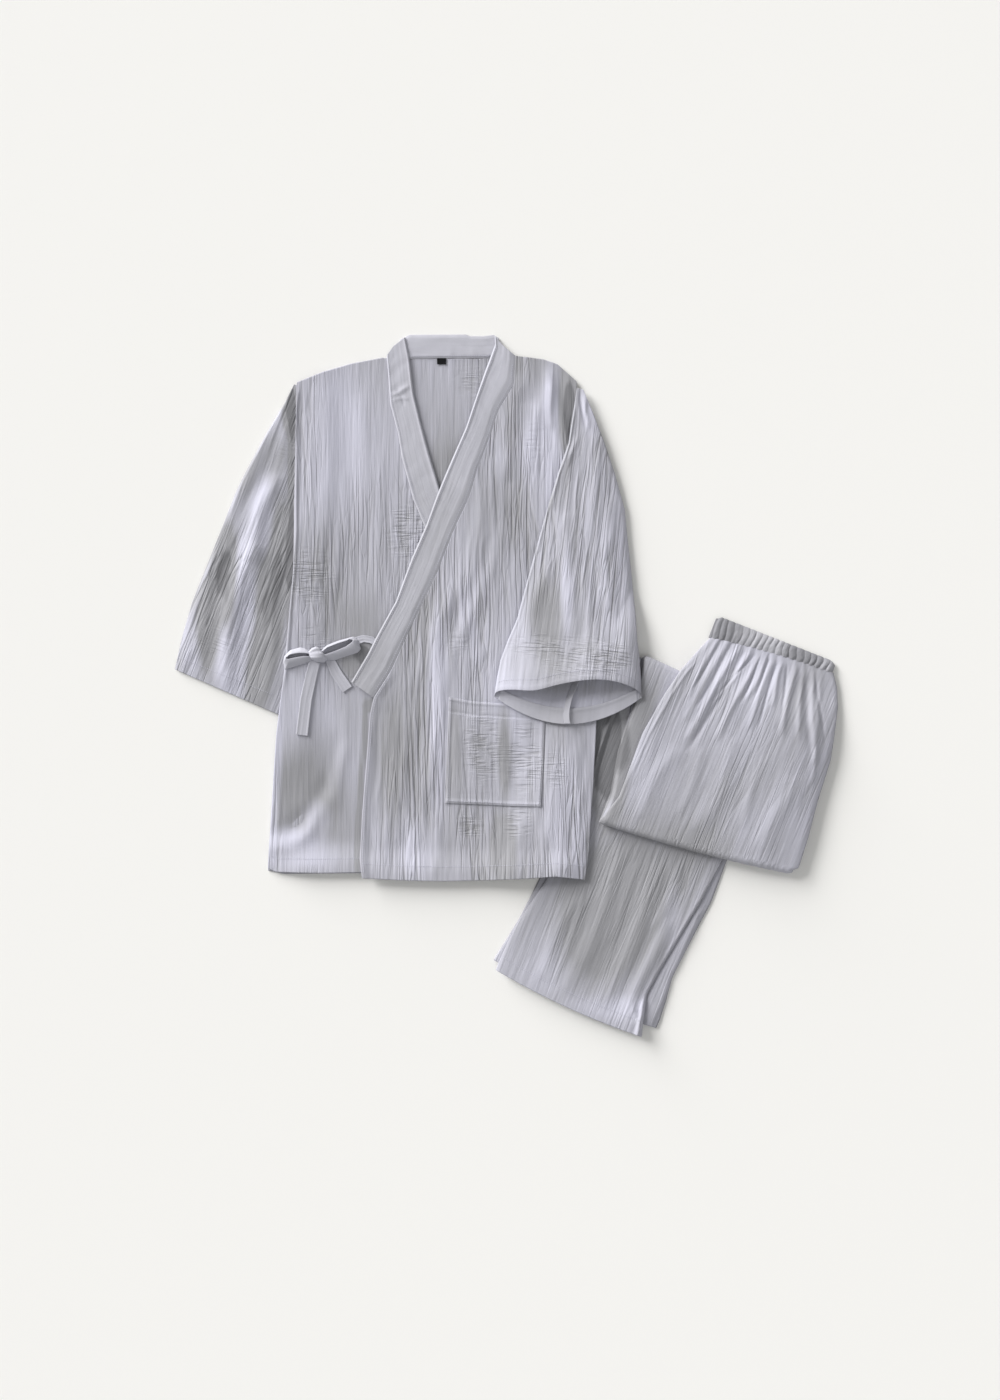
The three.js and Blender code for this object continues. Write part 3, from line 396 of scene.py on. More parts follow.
RIGHT_AREAS = {
    "creased": [
        (-215, 360, 70, 110, -0.55), (-272, 260, 22, 120, 0.3), (-256, -120, 70, 120, -0.8),
        (-270, -215, 60, 40, -0.6), (-180, 150, 50, 90, -0.3), (-215, 60, 60, 60, -0.3),
        (-322, -190, 14, 80, 0.4)
    ],
    "crossed": [(-136, 214, 26, 34, 1.0), (-276, 152, 30, 34, 0.9), (-268, 60, 18, 22, 0.6)],
    "tone_and_painted_light": [
        # Among these rows, the dark spots under the bow's right loop and at the band's end and the thin dark
        # strip left of the other front's edge are painted shadow; the light strips along the left edge and
        # the light spots on the two diagonal ridges near the hem are painted highlights; the rest is tone.
        (-230, 330, 80, 120, 0.7), (-215, 70, 60, 50, -0.5), (-280, -140, 46, 70, -0.9),
        (-230, -190, 40, 60, -0.5), (-300, -40, 22, 70, 0.4), (-300, -212, 40, 14, 1.1),
        (-264, -184, 18, 22, 1.0), (-321, -70, 8, 80, 1.5), (-329, -180, 8, 80, 1.5),
        (-290, -238, 60, 22, 0.8), (-207, 34, 18, 26, -1.5), (-196, 46, 14, 12, -1.2),
        (-197, -70, 4, 40, -1.6), (-203, -150, 4, 50, -1.6), (-207, -225, 4, 45, -1.6),
        (-186, -28, 12, 8, -1.6)
    ],
}


def folds(table, x, y):
    """Height in mm of listed creases: rows of x0, y0, x1, y1, width and height."""
    total = np.zeros_like(x)
    for x0, y0, x1, y1, width, height in table:
        run_x, run_y = x1 - x0, y1 - y0
        f = np.clip(((x - x0) * run_x + (y - y0) * run_y) / (run_x**2 + run_y**2), 0, 1)
        sway = width * 0.45 * np.sin(5.1 * f + x0)
        side = ((x - x0) * run_y - (y - y0) * run_x) / math.hypot(run_x, run_y) + sway
        along = np.hypot(x - x0 - run_x * f, y - y0 - run_y * f)
        away = np.where((f > 0) & (f < 1), np.abs(side), along + np.abs(sway))
        fade = 0.2 + 0.8 * np.sqrt(4 * f * (1 - f))
        total += height * fade * np.exp(-((away / width) ** 2))
    return total


def edge_roll(distance, width):
    """The plump roll of a folded or sewn edge: 1 at its crest, one width in from the edge."""
    return np.exp(-(((distance - width) / width) ** 2))


def hem_lift(x, from_hem):
    """The fronts' hems stand a little off what lies below, but not at the sewn sides."""
    return 7 * (1 - ramp(0, 46, from_hem)) * ramp(-333, -275, x) * (1 - ramp(70, 112, x))


def right_front_top(x, y):
    return back_underside(x, y) + LAYER + 0.4


def place_right_front(a, b):
    x, y = patch([*LEFT_SIDE, (-333, -255.5)], [*RIGHT_SEAM, (-12, -120), (-10, -261)],
                 [*LEFT_SHOULDER, (-166.6, 456)],
                 [(-333, -255.5), (-321, -261), (-257, -262), (-206, -261), (-10, -261)])(a, b)
    pressed = ramp(0, HEM_TURN, y + 262)
    side_roll = mix(0.35, 2.0, ramp(-20, 40, y)) * edge_roll(x - at(BODY_LEFT, y), 2.4)
    side_roll = side_roll * (1 - ramp(405, 420, y))
    height = 1.3 * folds(RIGHT_FOLDS, x, y) + side_roll
    height += pressed * creasing(RIGHT_AREAS, x, y) * crinkle(x, y, 21) + hem_lift(x, y + 261)
    return x, y, right_front_top(x, y) + WALL + height


right_front = sheet_object("right_front_cloth", 170, 110, place_right_front, RIGHT_AREAS)
finish_piece(right_front, "jacket_right_front", GAUZE)

# Jacket left front
# The wearer's left front laps over the right one as far as the slanted collar end and falls
# straight to the hem below it. Its hem is turned up and stitched.
LEFT_SEAM = [
    (12.6, 461), (11, 421), (-11.5, 383), (-21, 352), (-38.5, 306.6), (-52, 262), (-74, 215), (-95, 160),
    (-119, 110), (-135, 77), (-161, 20), (-185, -17.5)
]
LEFT_EDGE = [(-190, -41), (-194, -94.5), (-200.5, -175), (-204, -241), (-200.5, -268.7)]
LEFT_HEM = [
    (-200.5, -268.7), (-147, -271.7), (-90, -273), (-32, -271.7), (25, -269), (70, -266), (110, -271)
]
LEFT_FOLDS = [
    (57, 440, 66, 360, 6, 2.4), (78, 446, 87, 352, 7, -1.3), (30, 412, 22, 392, 14, -1.0),
    (22, 430, -6, 290, 14, 1.8), (52, 420, 34, 300, 10, 1.2), (-20, 280, -84, 90, 15, 1.2),
    (-6, 220, -60, 60, 10, 1.1), (-60, 150, -128, 0, 15, 1.4), (-36, 130, -90, -10, 10, 1.0),
    (-158, -40, -168, -250, 14, 1.5), (-112, -70, -118, -255, 12, 1.1), (-136, -60, -142, -200, 8, 0.9),
    (-95, 80, -100, -150, 9, 1.6), (-96, -180, -98, -262, 9, 1.0), (-20, -190, -30, -262, 15, 1.3),
    (20, -180, 12, -262, 10, 1.0), (62, -70, 58, -240, 9, 1.1), (84, -90, 78, -255, 12, 1.6),
    (104, -70, 98, -240, 8, 1.2)
]

LEFT_AREAS = {
    "creased": [
        (40, 400, 50, 50, -0.3), (-60, 170, 50, 130, 0.4), (96, -120, 26, 140, 0.4),
        (-140, -150, 40, 110, 0.2), (-30, -230, 60, 30, -0.2)
    ],
    "crossed": [
        (-50, -196, 18, 14, 0.9), (17, -192, 16, 26, 0.9), (70, -118, 14, 24, 0.8), (-66, 60, 14, 20, 0.5),
        (40, 340, 16, 30, 0.3)
    ],
    "tone_and_painted_light": [
        # The first row, deep dark beside the sleeve at the shoulder, is painted shadow in the fold there; the
        # other rows are tone.
        (88, 380, 12, 60, -3.0), (62, 400, 9, 44, 1.0), (2, 372, 26, 36, -0.7), (10, 350, 50, 60, 0.5),
        (52, 320, 32, 90, 0.8), (-80, 130, 40, 60, 0.1), (-120, 20, 40, 60, 0.3), (-95, -45, 12, 140, 1.3),
        (-48, 106, 26, 60, 0.5), (-5, -222, 17, 46, -1.4), (84, -180, 26, 90, 0.7),
        (-160, -110, 22, 80, -0.6), (-122, -230, 22, 36, 0.6)
    ],
}


def left_front_top(x, y):
    past_right_front = x - at([(-262, 25), (-8, 25), (273, -92), (487, -141)], y)
    return right_front_top(x, y) + WALL + 2.2 * (1 - ramp(45, 100, past_right_front))


def place_left_front(a, b):
    x, y = patch([*LEFT_SEAM, *LEFT_EDGE], [*RIGHT_SIDE, (115, -237), (110, -271)],
                 [(12.6, 461), (52, 456), (72, 449), (98.7, 425)], LEFT_HEM)(a, b)
    pressed = ramp(0, HEM_TURN, y + 271)
    under_pocket = ramp(-86, -78, x) * (1 - ramp(46, 54, x)) * ramp(-168, -160, y) * (1 - ramp(-28, -20, y))
    ripple = pressed * (1 - under_pocket) * creasing(LEFT_AREAS, x, y) * crinkle(x, y, 31)
    proud_edge = 2.4 * (1 - ramp(0, 0.05, a)) * ramp(0.6, 0.66, b)
    height = 1.3 * folds(LEFT_FOLDS, x, y) + ripple + proud_edge + hem_lift(x, y + 270)
    return x, y, left_front_top(x, y) + WALL + height


left_front = sheet_object("left_front_cloth", 160, 140, place_left_front, LEFT_AREAS)
finish_piece(left_front, "jacket_left_front", GAUZE)

THREAD = cloth_material("thread", (0.50, 0.50, 0.57), (0.62, 0.62, 0.70), 0.0002, creased=0.3)


def stitch_row(name, place, start, end, stitches):
    """A line of short raised stitches on a piece, between two places (a, b) of its grid."""
    reach = np.linspace(0, 1, 2 * stitches + 1)
    points = place(mix(start[0], end[0], reach), mix(start[1], end[1], reach))[:3]
    line = np.stack(points, axis=1) * MM
    form = bmesh.new()
    for first, last in zip(line[0:-1:2], line[1::2]):
        run = Vector(last - first)
        lie = run.to_track_quat("X", "Z").to_matrix().to_4x4()
        size = Matrix.Diagonal((run.length, 0.0007, 0.0008, 1))
        bmesh.ops.create_cube(form, size=1, matrix=Matrix.Translation((first + last) / 2) @ lie @ size)
    form.loops.layers.uv.new("cloth")
    piece = object_from(form, name)
    piece.data.materials.append(THREAD)
    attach(piece, "root")


stitch_row("right_front_hem_stitches", place_right_front, (0.01, 0.972), (0.6, 0.972), 62)
stitch_row("left_front_hem_stitches", place_left_front, (0.01, 0.973), (0.99, 0.973), 96)
stitch_row("left_front_edge_stitches", place_left_front, (0.012, 0.63), (0.012, 0.99), 76)

# Collar band
# One long strip folded double, sewn to both fronts and the back of the neck: its right and left
# stretches slope across the chest, and between them its inner face shows behind the neck.
BAND_LAYER = 2.2
RIGHT_BAND_FOLD = [(-141, 487), (-135, 458), (-129, 408), (-119, 366.5), (-108, 326), (-92, 273), (25, -8)]
LEFT_BAND_FOLD = [
    (-16, 488.6), (-15.4, 476), (-22.7, 456.5), (-29, 440), (-42, 402), (-56, 360), (-71, 326), (-84, 296),
    (-97, 264), (-111, 225), (-132, 177), (-154, 117), (-182, 66), (-192.5, 45), (-216, 5)
]
BAND_WIDTH = 38.5
RIGHT_BAND_LONG = 520
LEFT_BAND_LONG = 525
NECK_BAND_WIDTH = 34
NECK_BAND_LONG = 142


def band_relief(u, v, seed):
    """Pressed band: soft cross ripples and little crinkle; u runs across it, v along it, in mm."""
    ripple = 0.7 * noise(u / 40, v / 17, seed) + 0.3 * noise(u / 14, v / 8, seed + 1)
    return ripple + 0.25 * crinkle(u, v, seed + 2)


def fold_roll(f, width):
    """The plump roll at a pressed fold, 1 at its crest close to f = 0."""
    return np.exp(-(((f - width) / width) ** 2))


def round_edges(f, softness):
    """Falls off at both edges of a folded strip: 1 inside, 0.3 at the very edge."""
    return 0.3 + 0.7 * ramp(0, softness, f) * ramp(0, softness, 1 - f)


BAND_CREASES = [
    (-160, 406, -134, 417, 3, 1.3), (-158, 399, -136, 402, 2.4, 1.0), (-152, 414, -142, 392, 2.4, -0.9)
]


def place_right_band(a, b):
    x, y = patch([(-166.6, 461), *RIGHT_SEAM], RIGHT_BAND_FOLD,
                 [(-166.6, 461), (-157.6, 474), (-141, 487)], [(-14, -17), (25, -8)])(a, b)
    u, v = a * BAND_WIDTH, b * RIGHT_BAND_LONG
    rolls = 0.9 * fold_roll(1 - a, 0.05) + 0.5 * fold_roll(a, 0.05)
    relief = rolls + band_relief(u, v, 41) + folds(BAND_CREASES, x, y)
    z = right_front_top(x, y) + BAND_LAYER * round_edges(a, 0.05) + relief
    return x, y, z, u, v


def place_left_band(a, b):
    x, y = patch(LEFT_BAND_FOLD, LEFT_SEAM, [(-16, 488.6), (-3.4, 474), (12.6, 461)],
                 [(-216, 5), (-185, -17.5)])(a, b)
    u, v = a * BAND_WIDTH, b * LEFT_BAND_LONG
    rolls = 1.1 * fold_roll(a, 0.05)
    to_seam = mix(1, 0.25, ramp(0.72, 1, a))
    z = left_front_top(x, y) + 0.6 + BAND_LAYER * to_seam * round_edges(a, 0.05)
    return x, y, z + rolls + band_relief(u, v, 51), u, v


def place_neck_band(a, b):
    x, y = patch([(-148, 484), (-150, 457)], [(-10, 486), (-8, 460)],
                 [(-148, 484), (-135, 490.6), (-56, 491), (-50, 488.6), (-32, 488.6), (-17, 490.6),
                  (-10, 486)],
                 [(-150, 457), (-133.6, 456.9), (-22.7, 458.4), (-8, 460)])(a, b)
    u, v = b * NECK_BAND_WIDTH, a * NECK_BAND_LONG
    rise = 1.5 * ramp(0, 0.2, b) * ramp(0, 0.08, 1 - b)
    rise = rise + 0.7 * fold_roll(b, 0.07) + 0.5 * fold_roll(1 - b, 0.05)
    return x, y, back_underside(x, y) + 0.8 + rise + band_relief(u, v, 61), u, v


BAND_AREAS = {
    "creased": (),
    "crossed": [(-104, 262, 14, 22, 0.7), (-70, 310, 12, 40, 0.5)],
    "tone_and_painted_light": [(-60, 330, 40, 90, 0.2), (-190, 20, 40, 50, -0.2)],
}
for name, node, columns, rows, place, flat in (
    ("right_band_cloth", "collar_right", 40, 220, place_right_band, (0.0385, 0.52)),
    ("left_band_cloth", "collar_left", 40, 230, place_left_band, (0.0385, 0.53)),
    ("neck_band_cloth", "collar_neck", 80, 18, place_neck_band, (0.034, 0.142)),
):
    band = sheet_object(name, columns, rows, place, BAND_AREAS, thickness=1.4)
    finish_piece(band, node, BAND_GAUZE)
for name, place, start, end, stitches in (
    ("left_band_seam_stitches", place_left_band, (0.9, 0.03), (0.9, 0.98), 150),
    ("left_band_fold_stitches", place_left_band, (0.1, 0.02), (0.1, 0.99), 150),
    ("right_band_seam_stitches", place_right_band, (0.1, 0.03), (0.1, 0.5), 78),
    ("neck_seam_stitches", place_neck_band, (0.12, 0.9), (0.9, 0.9), 34),
):
    stitch_row(name, place, start, end, stitches)

# Patch pocket
# A nearly square patch on the left front, its top edge turned down and stitched, its other
# edges turned under and sewn close to the edge.
POCKET_LEFT = [(-80, -16), (-83, -90), (-85, -164.5)]
POCKET_RIGHT = [(55, -29), (53, -100), (49, -169)]
POCKET_TOP = [(-80, -16), (-47, -22), (-13, -24.5), (55, -29)]
POCKET_BOTTOM = [(-85, -164.5), (-40, -166), (0, -168), (49, -169)]
POCKET_FOLDS = [
    (-40, -30, -46, -150, 12, 1.0), (-4, -40, 0, -160, 10, 0.9), (30, -40, 24, -140, 10, 0.8),
    (-66, -60, -68, -150, 8, 0.7)
]
POCKET_AREAS = {
    "creased": [(-15, -95, 70, 70, -0.35)],
    "crossed": [(-32, -88, 22, 42, 1.1), (27, -102, 22, 42, 1.1)],
    "tone_and_painted_light": [(-2, -90, 9, 66, -1.2), (-70, -90, 12, 70, -0.6), (-30, -90, 16, 40, -0.2)],
}


def place_pocket(a, b):
    x, y = patch(POCKET_LEFT, POCKET_RIGHT, POCKET_TOP, POCKET_BOTTOM)(a, b)
    edge = round_edges(a, 0.03) * round_edges(b, 0.025)
    seam = 0.9 * (fold_roll(a, 0.02) + fold_roll(1 - a, 0.02) + fold_roll(1 - b, 0.018) + fold_roll(b, 0.016))
    inside = ramp(0.03, 0.09, a) * ramp(0.03, 0.09, 1 - a)
    hem_line = 0.5 * np.exp(-(((b - 0.13) / 0.012) ** 2))
    relief = inside * (folds(POCKET_FOLDS, x, y) + 0.5 * crinkle(x, y, 71))
    base = left_front_top(x, y) + WALL + 1.3 * folds(LEFT_FOLDS, x, y) + 0.9
    return x, y, base + edge * 1.1 + seam + relief * ramp(0.12, 0.17, b) - hem_line


pocket = sheet_object("pocket_cloth", 90, 110, place_pocket, POCKET_AREAS)
finish_piece(pocket, "patch_pocket", GAUZE)
for edge, start, end, stitches in (
    ("hem", (0.02, 0.15), (0.98, 0.15), 38),
    ("left", (0.025, 0.02), (0.025, 0.98), 40),
    ("right", (0.975, 0.02), (0.975, 0.98), 40),
    ("bottom", (0.02, 0.975), (0.98, 0.975), 38),
):
    stitch_row(f"pocket_{edge}_stitches", place_pocket, start, end, stitches)

# Neck label
# A small blank black woven tab, its ends folded under, sewn flat on the jacket's back just under
# the neck seam.
LABEL_ACROSS = (-96.3, -83.8)
LABEL_DOWN = (457.8, 449.3)


def place_label(a, b):
    x, y = mix(*LABEL_ACROSS, a), mix(*LABEL_DOWN, b)
    return x, y, back_underside(x, y) + WALL + 1.6 + 0.15 * noise(a * 3, b * 3, 5), x, y


label_material = cloth_material("label_tape", (0.004, 0.004, 0.005), (0.010, 0.010, 0.012), 0.0002,
                                creased=0.2, sheen=0.0)
label = sheet_object("neck_label_tape", 22, 18, place_label, EVEN_CLOTH, thickness=0.6)
finish_piece(label, "neck_label", label_material)

# Right sleeve
# A straight tube of gauze that lies closed and flat, its inner edge tucked under the body. A
# broad ridge runs down from the shoulder; the cuff is turned in and stitched.
SLEEVE_OUTER = [
    (0, -297, 421), (0.07, -310, 395), (0.18, -336, 351), (0.3, -361, 305), (0.38, -377, 273),
    (0.48, -393, 232), (0.65, -421.5, 161), (0.77, -439.5, 115.5), (0.88, -453, 69), (1, -463.4, 22.7)
]
SLEEVE_INNER = [
    (0, -281, 419), (0.07, -275, 390), (0.18, -275, 343), (0.3, -275, 290), (0.38, -275, 252),
    (0.48, -275, 204), (0.65, -279, 126), (0.77, -283, 70), (0.88, -289, 16), (1, -297, -50)
]
SLEEVE_FOLDS = [
    (-318, 296, -362, 176, 13, 6.0), (-356, 200, -398, 0, 15, 6.5), (-404, 190, -440, 40, 14, 3.2),
    (-316, 160, -336, -20, 9, 2.0), (-340, 350, -384, 240, 10, 2.2), (-304, 360, -312, 250, 7, 1.4)
]
TOP_SHARE = 0.78
RIGHT_SLEEVE_TURN = 0.36
RIGHT_SLEEVE_AREAS = {
    "creased": [(-345, 240, 20, 100, -0.4), (-300, 200, 18, 150, 0.2), (-410, 120, 24, 70, 0.2)],
    "crossed": [(-400, 60, 40, 24, 0.4), (-300, 330, 20, 20, 0.4)],
    "tone_and_painted_light": [
        # Mostly painted light: the light spots along the broad ridge are a painted highlight, the dark ones
        # in the troughs either side of it painted shade, and the dark strips along the body's edge and at the
        # armhole painted shadow; the few others are tone.
        (-342, 236, 15, 50, 1.2), (-366, 130, 16, 80, 1.5), (-386, 30, 20, 50, 1.2),
        (-312, 190, 16, 60, -1.7), (-330, 100, 17, 70, -2.0), (-348, 20, 16, 50, -1.5),
        (-392, 160, 16, 60, -1.9), (-362, 300, 20, 36, -0.7), (-302, 388, 10, 34, -3.0),
        (-440, 50, 14, 40, 1.0), (-322, 325, 20, 34, -0.7), (-416, 70, 14, 50, -1.2),
        (-299, 300, 5, 120, -2.0), (-302, 140, 5, 90, -1.4)
    ],
}


def column(table, number, place):
    """Reads one numbered column of a table whose first column rises."""
    rows = np.array(table, dtype=float)
    return np.interp(place, rows[:, 0], rows[:, number])


def around(a, share):
    """Goes round a flat tube: across its upper layer, then back along the lower one."""
    upper = a <= share
    return upper, np.where(upper, a / share, (1 - a) / (1 - share))


def grain(x, y, turn):
    """The cloth's plan of a sleeve whose grain is turned from the body's."""
    return x * math.cos(turn) - y * math.sin(turn), x * math.sin(turn) + y * math.cos(turn)


def place_right_sleeve(a, b):
    upper, f = around(a, TOP_SHARE)
    x = mix(column(SLEEVE_OUTER, 1, b), column(SLEEVE_INNER, 1, b), f)
    y = mix(column(SLEEVE_OUTER, 2, b), column(SLEEVE_INNER, 2, b), f)
    free = ramp(0, 30, at(BODY_LEFT, y) - x)
    u, v = grain(x, y, RIGHT_SLEEVE_TURN)
    edge = np.sqrt(np.clip(ramp(0, 0.05, f) * ramp(0, 0.05, 1 - f), 0, 1))
    ripple = mix(0.4, 1, ramp(0, 0.045, 1 - b)) * creasing(RIGHT_SLEEVE_AREAS, x, y) * crinkle(u, v, 81)
    relief = free * (folds(SLEEVE_FOLDS, x, y) + ripple)
    z = np.where(upper, 1.2 + edge * (1.9 + relief), 1.2 - 1.0 * edge)
    return x, y, z, u, v


def close_tube(piece):
    """Joins the two long edges of a grid that goes round a tube."""
    form = bmesh.new()
    form.from_mesh(piece.data)
    bmesh.ops.remove_doubles(form, verts=form.verts, dist=1e-6)
    form.to_mesh(piece.data)
    form.free()


right_sleeve = sheet_object("right_sleeve_cloth", 150, 90, place_right_sleeve, RIGHT_SLEEVE_AREAS,
                            thickness=0.8)
close_tube(right_sleeve)
finish_piece(right_sleeve, "right_sleeve", GAUZE)
stitch_row("right_cuff_stitches", place_right_sleeve, (0.01, 0.955), (0.63, 0.955), 50)

# Left sleeve
# The same tube lies over the body from the shoulder, partly rolled open: its upper hem arches
# up and back, its lower hem bows forward, and the inside of the lower layer shows between them.
LEFT_SLEEVE = [
    # along, left x, left y, right x, right y, height, back, forward
    (0, 99, 415, 108, 413, 3.2, 0, 0), (0.07, 94, 384, 121, 382, 3.6, 0, 0),
    (0.17, 87, 338, 138, 338, 4.6, 0, 0), (0.27, 72, 295, 152, 296, 5.8, 0, 0),
    (0.38, 57, 245, 166, 246, 7, 0, 0), (0.48, 45.5, 204, 170, 204, 8, 0, 0),
    (0.6, 30, 148, 176, 150, 9.5, 0, 0), (0.72, 15, 92, 181, 95, 12, 2, 3),
    (0.8, 2, 62, 183, 60, 15, 5, 8), (0.87, -8, 35, 186, 38, 19, 9, 16),
    (0.94, -13, 9, 188, 9, 23, 14, 27), (1, -16.5, -15.5, 189, -17, 26, 20, 38),
]
MIDDLE_LEG_LEFT = [(-400, 129), (-188, 129), (-104, 153), (-36, 172), (47, 192), (200, 320)]
LEFT_SLEEVE_SHARE = 0.6
LEFT_SLEEVE_TURN = 0.12
LEFT_SLEEVE_LONG = 430
LEFT_SLEEVE_FOLDS = [
    (104, 412, 109, 361, 3, -1.8), (109, 410, 114, 361, 4, 1.4), (96, 345, 84, 290, 4, 1.6),
    (84, 330, 60, 250, 8, 1.8), (120, 350, 128, 180, 9, 1.6), (92, 240, 78, 60, 11, 1.8),
    (140, 260, 150, 70, 10, 1.8), (58, 180, 30, 60, 9, 1.4), (112, 160, 112, 30, 9, 1.4),
    (164, 180, 170, 40, 8, 1.2)
]
LEFT_SLEEVE_AREAS = {
    "creased": [(62, 90, 24, 50, -0.5), (150, 150, 30, 90, 0.1), (90, 200, 20, 120, 0.2)],
    "crossed": [(44, 56, 34, 14, 0.8), (106, 40, 50, 24, 1.0), (152, 36, 24, 20, 0.8)],
    "tone_and_painted_light": [
        (80, -24, 66, 13, 0.9), (52, 104, 22, 50, -1.0), (140, 180, 36, 110, 0.3), (86, 130, 9, 60, 1.0),
        (150, 14, 40, 14, 0.2), (118, 392, 14, 40, 0.8), (66, 210, 18, 60, 0.4), (30, 30, 40, 24, -0.3)
    ],
}


def bow(f):
    return 4 * f * (1 - f)


def sleeve_rest(x, y):
    """What the left sleeve lies on: the body and pocket, then the floor or the folded legs."""
    side = at(BODY_RIGHT, y)
    on_body = (left_front_top(np.minimum(x, side), y) + 2.0) * (1 - ramp(26, 85, x - side))
    on_pocket = 2.0 * (1 - ramp(10, 45, y)) * (1 - ramp(72, 105, x))
    over_lower, over_middle = (x - at(edge, y) for edge in (LOWER_LEG_LEFT, MIDDLE_LEG_LEFT))
    on_legs = LEG_PAIR * (ramp(-110, -14, over_lower) + ramp(-110, -12, over_middle))
    return np.maximum(on_body + on_pocket, on_legs)


def place_left_sleeve(a, b):
    upper, f = around(a, LEFT_SLEEVE_SHARE)
    lift = column(LEFT_SLEEVE, 6, b) * bow(f) ** mix(1, 0.4, ramp(0.9, 1, b))
    lift = lift - ramp(0.86, 1, b) * (6 * np.sin(2 * math.pi * f) + 3.5 * np.exp(-(((f - 0.27) / 0.11) ** 2)))
    push = np.where(upper, lift, -column(LEFT_SLEEVE, 7, b) * bow(f))
    x = mix(column(LEFT_SLEEVE, 1, b), column(LEFT_SLEEVE, 3, b), f)
    y = mix(column(LEFT_SLEEVE, 2, b), column(LEFT_SLEEVE, 4, b), f) + push
    u, v = grain(x, y, LEFT_SLEEVE_TURN)
    crown = (column(LEFT_SLEEVE, 5, b) - 3.2) * bow(f) ** 0.75
    edge = np.sqrt(np.clip(ramp(0, 0.05, f) * ramp(0, 0.05, 1 - f), 0, 1))
    pressed = mix(0.4, 1, ramp(0, 0.05, 1 - b))
    ripple = pressed * creasing(LEFT_SLEEVE_AREAS, x, y) * crinkle(u, v, 91)
    relief = edge * (1.3 * folds(LEFT_SLEEVE_FOLDS, x, y) + ripple)
    top = 2.4 + crown + 0.8 * edge + relief
    width = column(LEFT_SLEEVE, 3, b) - column(LEFT_SLEEVE, 1, b)
    roll = 1.5 * edge_roll(f * width, 1.9) * ramp(0.02, 0.1, b)
    top = top + (roll + 1.1 * edge_roll((1 - b) * LEFT_SLEEVE_LONG, 2.4))
    bottom = 2.4 - edge * (1.6 - 0.25 * crinkle(u, v, 95))
    return x, y, sleeve_rest(x, y) + 0.7 + np.where(upper, top, bottom), u, v


left_sleeve = sheet_object("left_sleeve_cloth", 200, 100, place_left_sleeve, LEFT_SLEEVE_AREAS, thickness=1.0)
close_tube(left_sleeve)
finish_piece(left_sleeve, "left_sleeve", GAUZE)


def inside_cuff(f, b, lift):
    """A place on the inner face of the sleeve's lower layer."""
    x, y, z, u, v = place_left_sleeve(1 - f * (1 - LEFT_SLEEVE_SHARE), b)
    return x, y, z + 1.0 + lift, u, v


def place_cuff_turning(a, b):
    """The hem's turned-in edge, pressed against the inside of the lower layer."""
    edge = 1.1 * fold_roll(b, 0.12)
    return inside_cuff(mix(0.03, 0.97, a), mix(0.962, 0.999, b), 0.5 + edge)


def place_inner_seam(a, b):
    """The seam's spare edges stand a little way up and lean over inside the cuff."""
    middle = mix(0.57, 0.487, b) - 0.05 * bow(b) * b
    return inside_cuff(middle + mix(-0.012, 0.028, a), mix(0.86, 0.998, b), 0.8 + 8 * a * (1 - 0.6 * b))


turning = sheet_object("left_cuff_turning", 90, 14, place_cuff_turning, EVEN_CLOTH, thickness=0.6)
turning.data.materials.append(BAND_GAUZE)
inner_seam = sheet_object("left_cuff_inner_seam", 10, 40, place_inner_seam, EVEN_CLOTH, thickness=0.6)
inner_seam.data.materials.append(BAND_GAUZE)
for piece, flat in ((turning, (0.24, 0.019)), (inner_seam, (0.015, 0.062))):
    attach(piece, "root")
stitch_row("left_cuff_stitches", place_left_sleeve, (0.01, 0.955), (0.59, 0.955), 60)

# Ties and bow
# Two narrow ribbons of the band's cloth, one from the slanted collar end and one from the side
# seam, tied at the wearer's right in a knot with two loops and two tails.
TIE = 1.2


def ribbon_place(line, lift):
    """A flat ribbon along its middle line of x, y and half width."""
    rows = [(k / (len(line) - 1), *row) for k, row in enumerate(line)]

    def place(a, b):
        ahead, behind = np.clip(b + 0.05, 0, 1), np.clip(b - 0.05, 0, 1)
        run_x = column(rows, 1, ahead) - column(rows, 1, behind)
        run_y = column(rows, 2, ahead) - column(rows, 2, behind)
        side = (2 * a - 1) * column(rows, 3, b) / np.hypot(run_x, run_y)
        x = column(rows, 1, b) - run_y * side
        y = column(rows, 2, b) + run_x * side
        u, v = a * 17, b * 100
        rolls = 0.5 * (fold_roll(a, 0.07) + fold_roll(1 - a, 0.07))
        relief = 0.25 * crinkle(2.2 * u, v, 7) + 0.5 * noise(u / 9, v / 26, 8)
        return x, y, right_front_top(x, y) + WALL + lift + rolls + relief, u, v
    return place


def loop_place(outer, inner, height):
    """A ribbon loop seen from above: its outer edge lies low, its inner edge stands up and leans
    in over the opening, and both ends go into the knot."""
    def place(a, b):
        (outer_x, outer_y), (inner_x, inner_y) = along(outer, b), along(inner, b)
        x, y = mix(outer_x, inner_x, a), mix(outer_y, inner_y, a)
        stand = height * (0.55 + 0.45 * np.sqrt(bow(b)))
        z = right_front_top(x, y) + WALL + 2.2 + stand * np.sin(a * math.pi / 2)
        relief = 0.4 * noise(a * 2, b * 9, 12)
        return x, y, z + relief, a * 16, b * 100
    return place


KNOT_LEFT = [(-275.4, 47.6), (-274.6, 41.5), (-271.4, 36.5)]
KNOT_RIGHT = [(-259.4, 49.8), (-252.6, 44), (-247.6, 37.6)]
KNOT_TOP = [(-275.4, 47.6), (-270.6, 52.4), (-265.1, 54.4), (-261.4, 53), (-259.4, 49.8)]
KNOT_BOTTOM = [(-271.4, 36.5), (-266.5, 33.8), (-261.4, 32), (-254, 31.6), (-247.6, 37.6)]


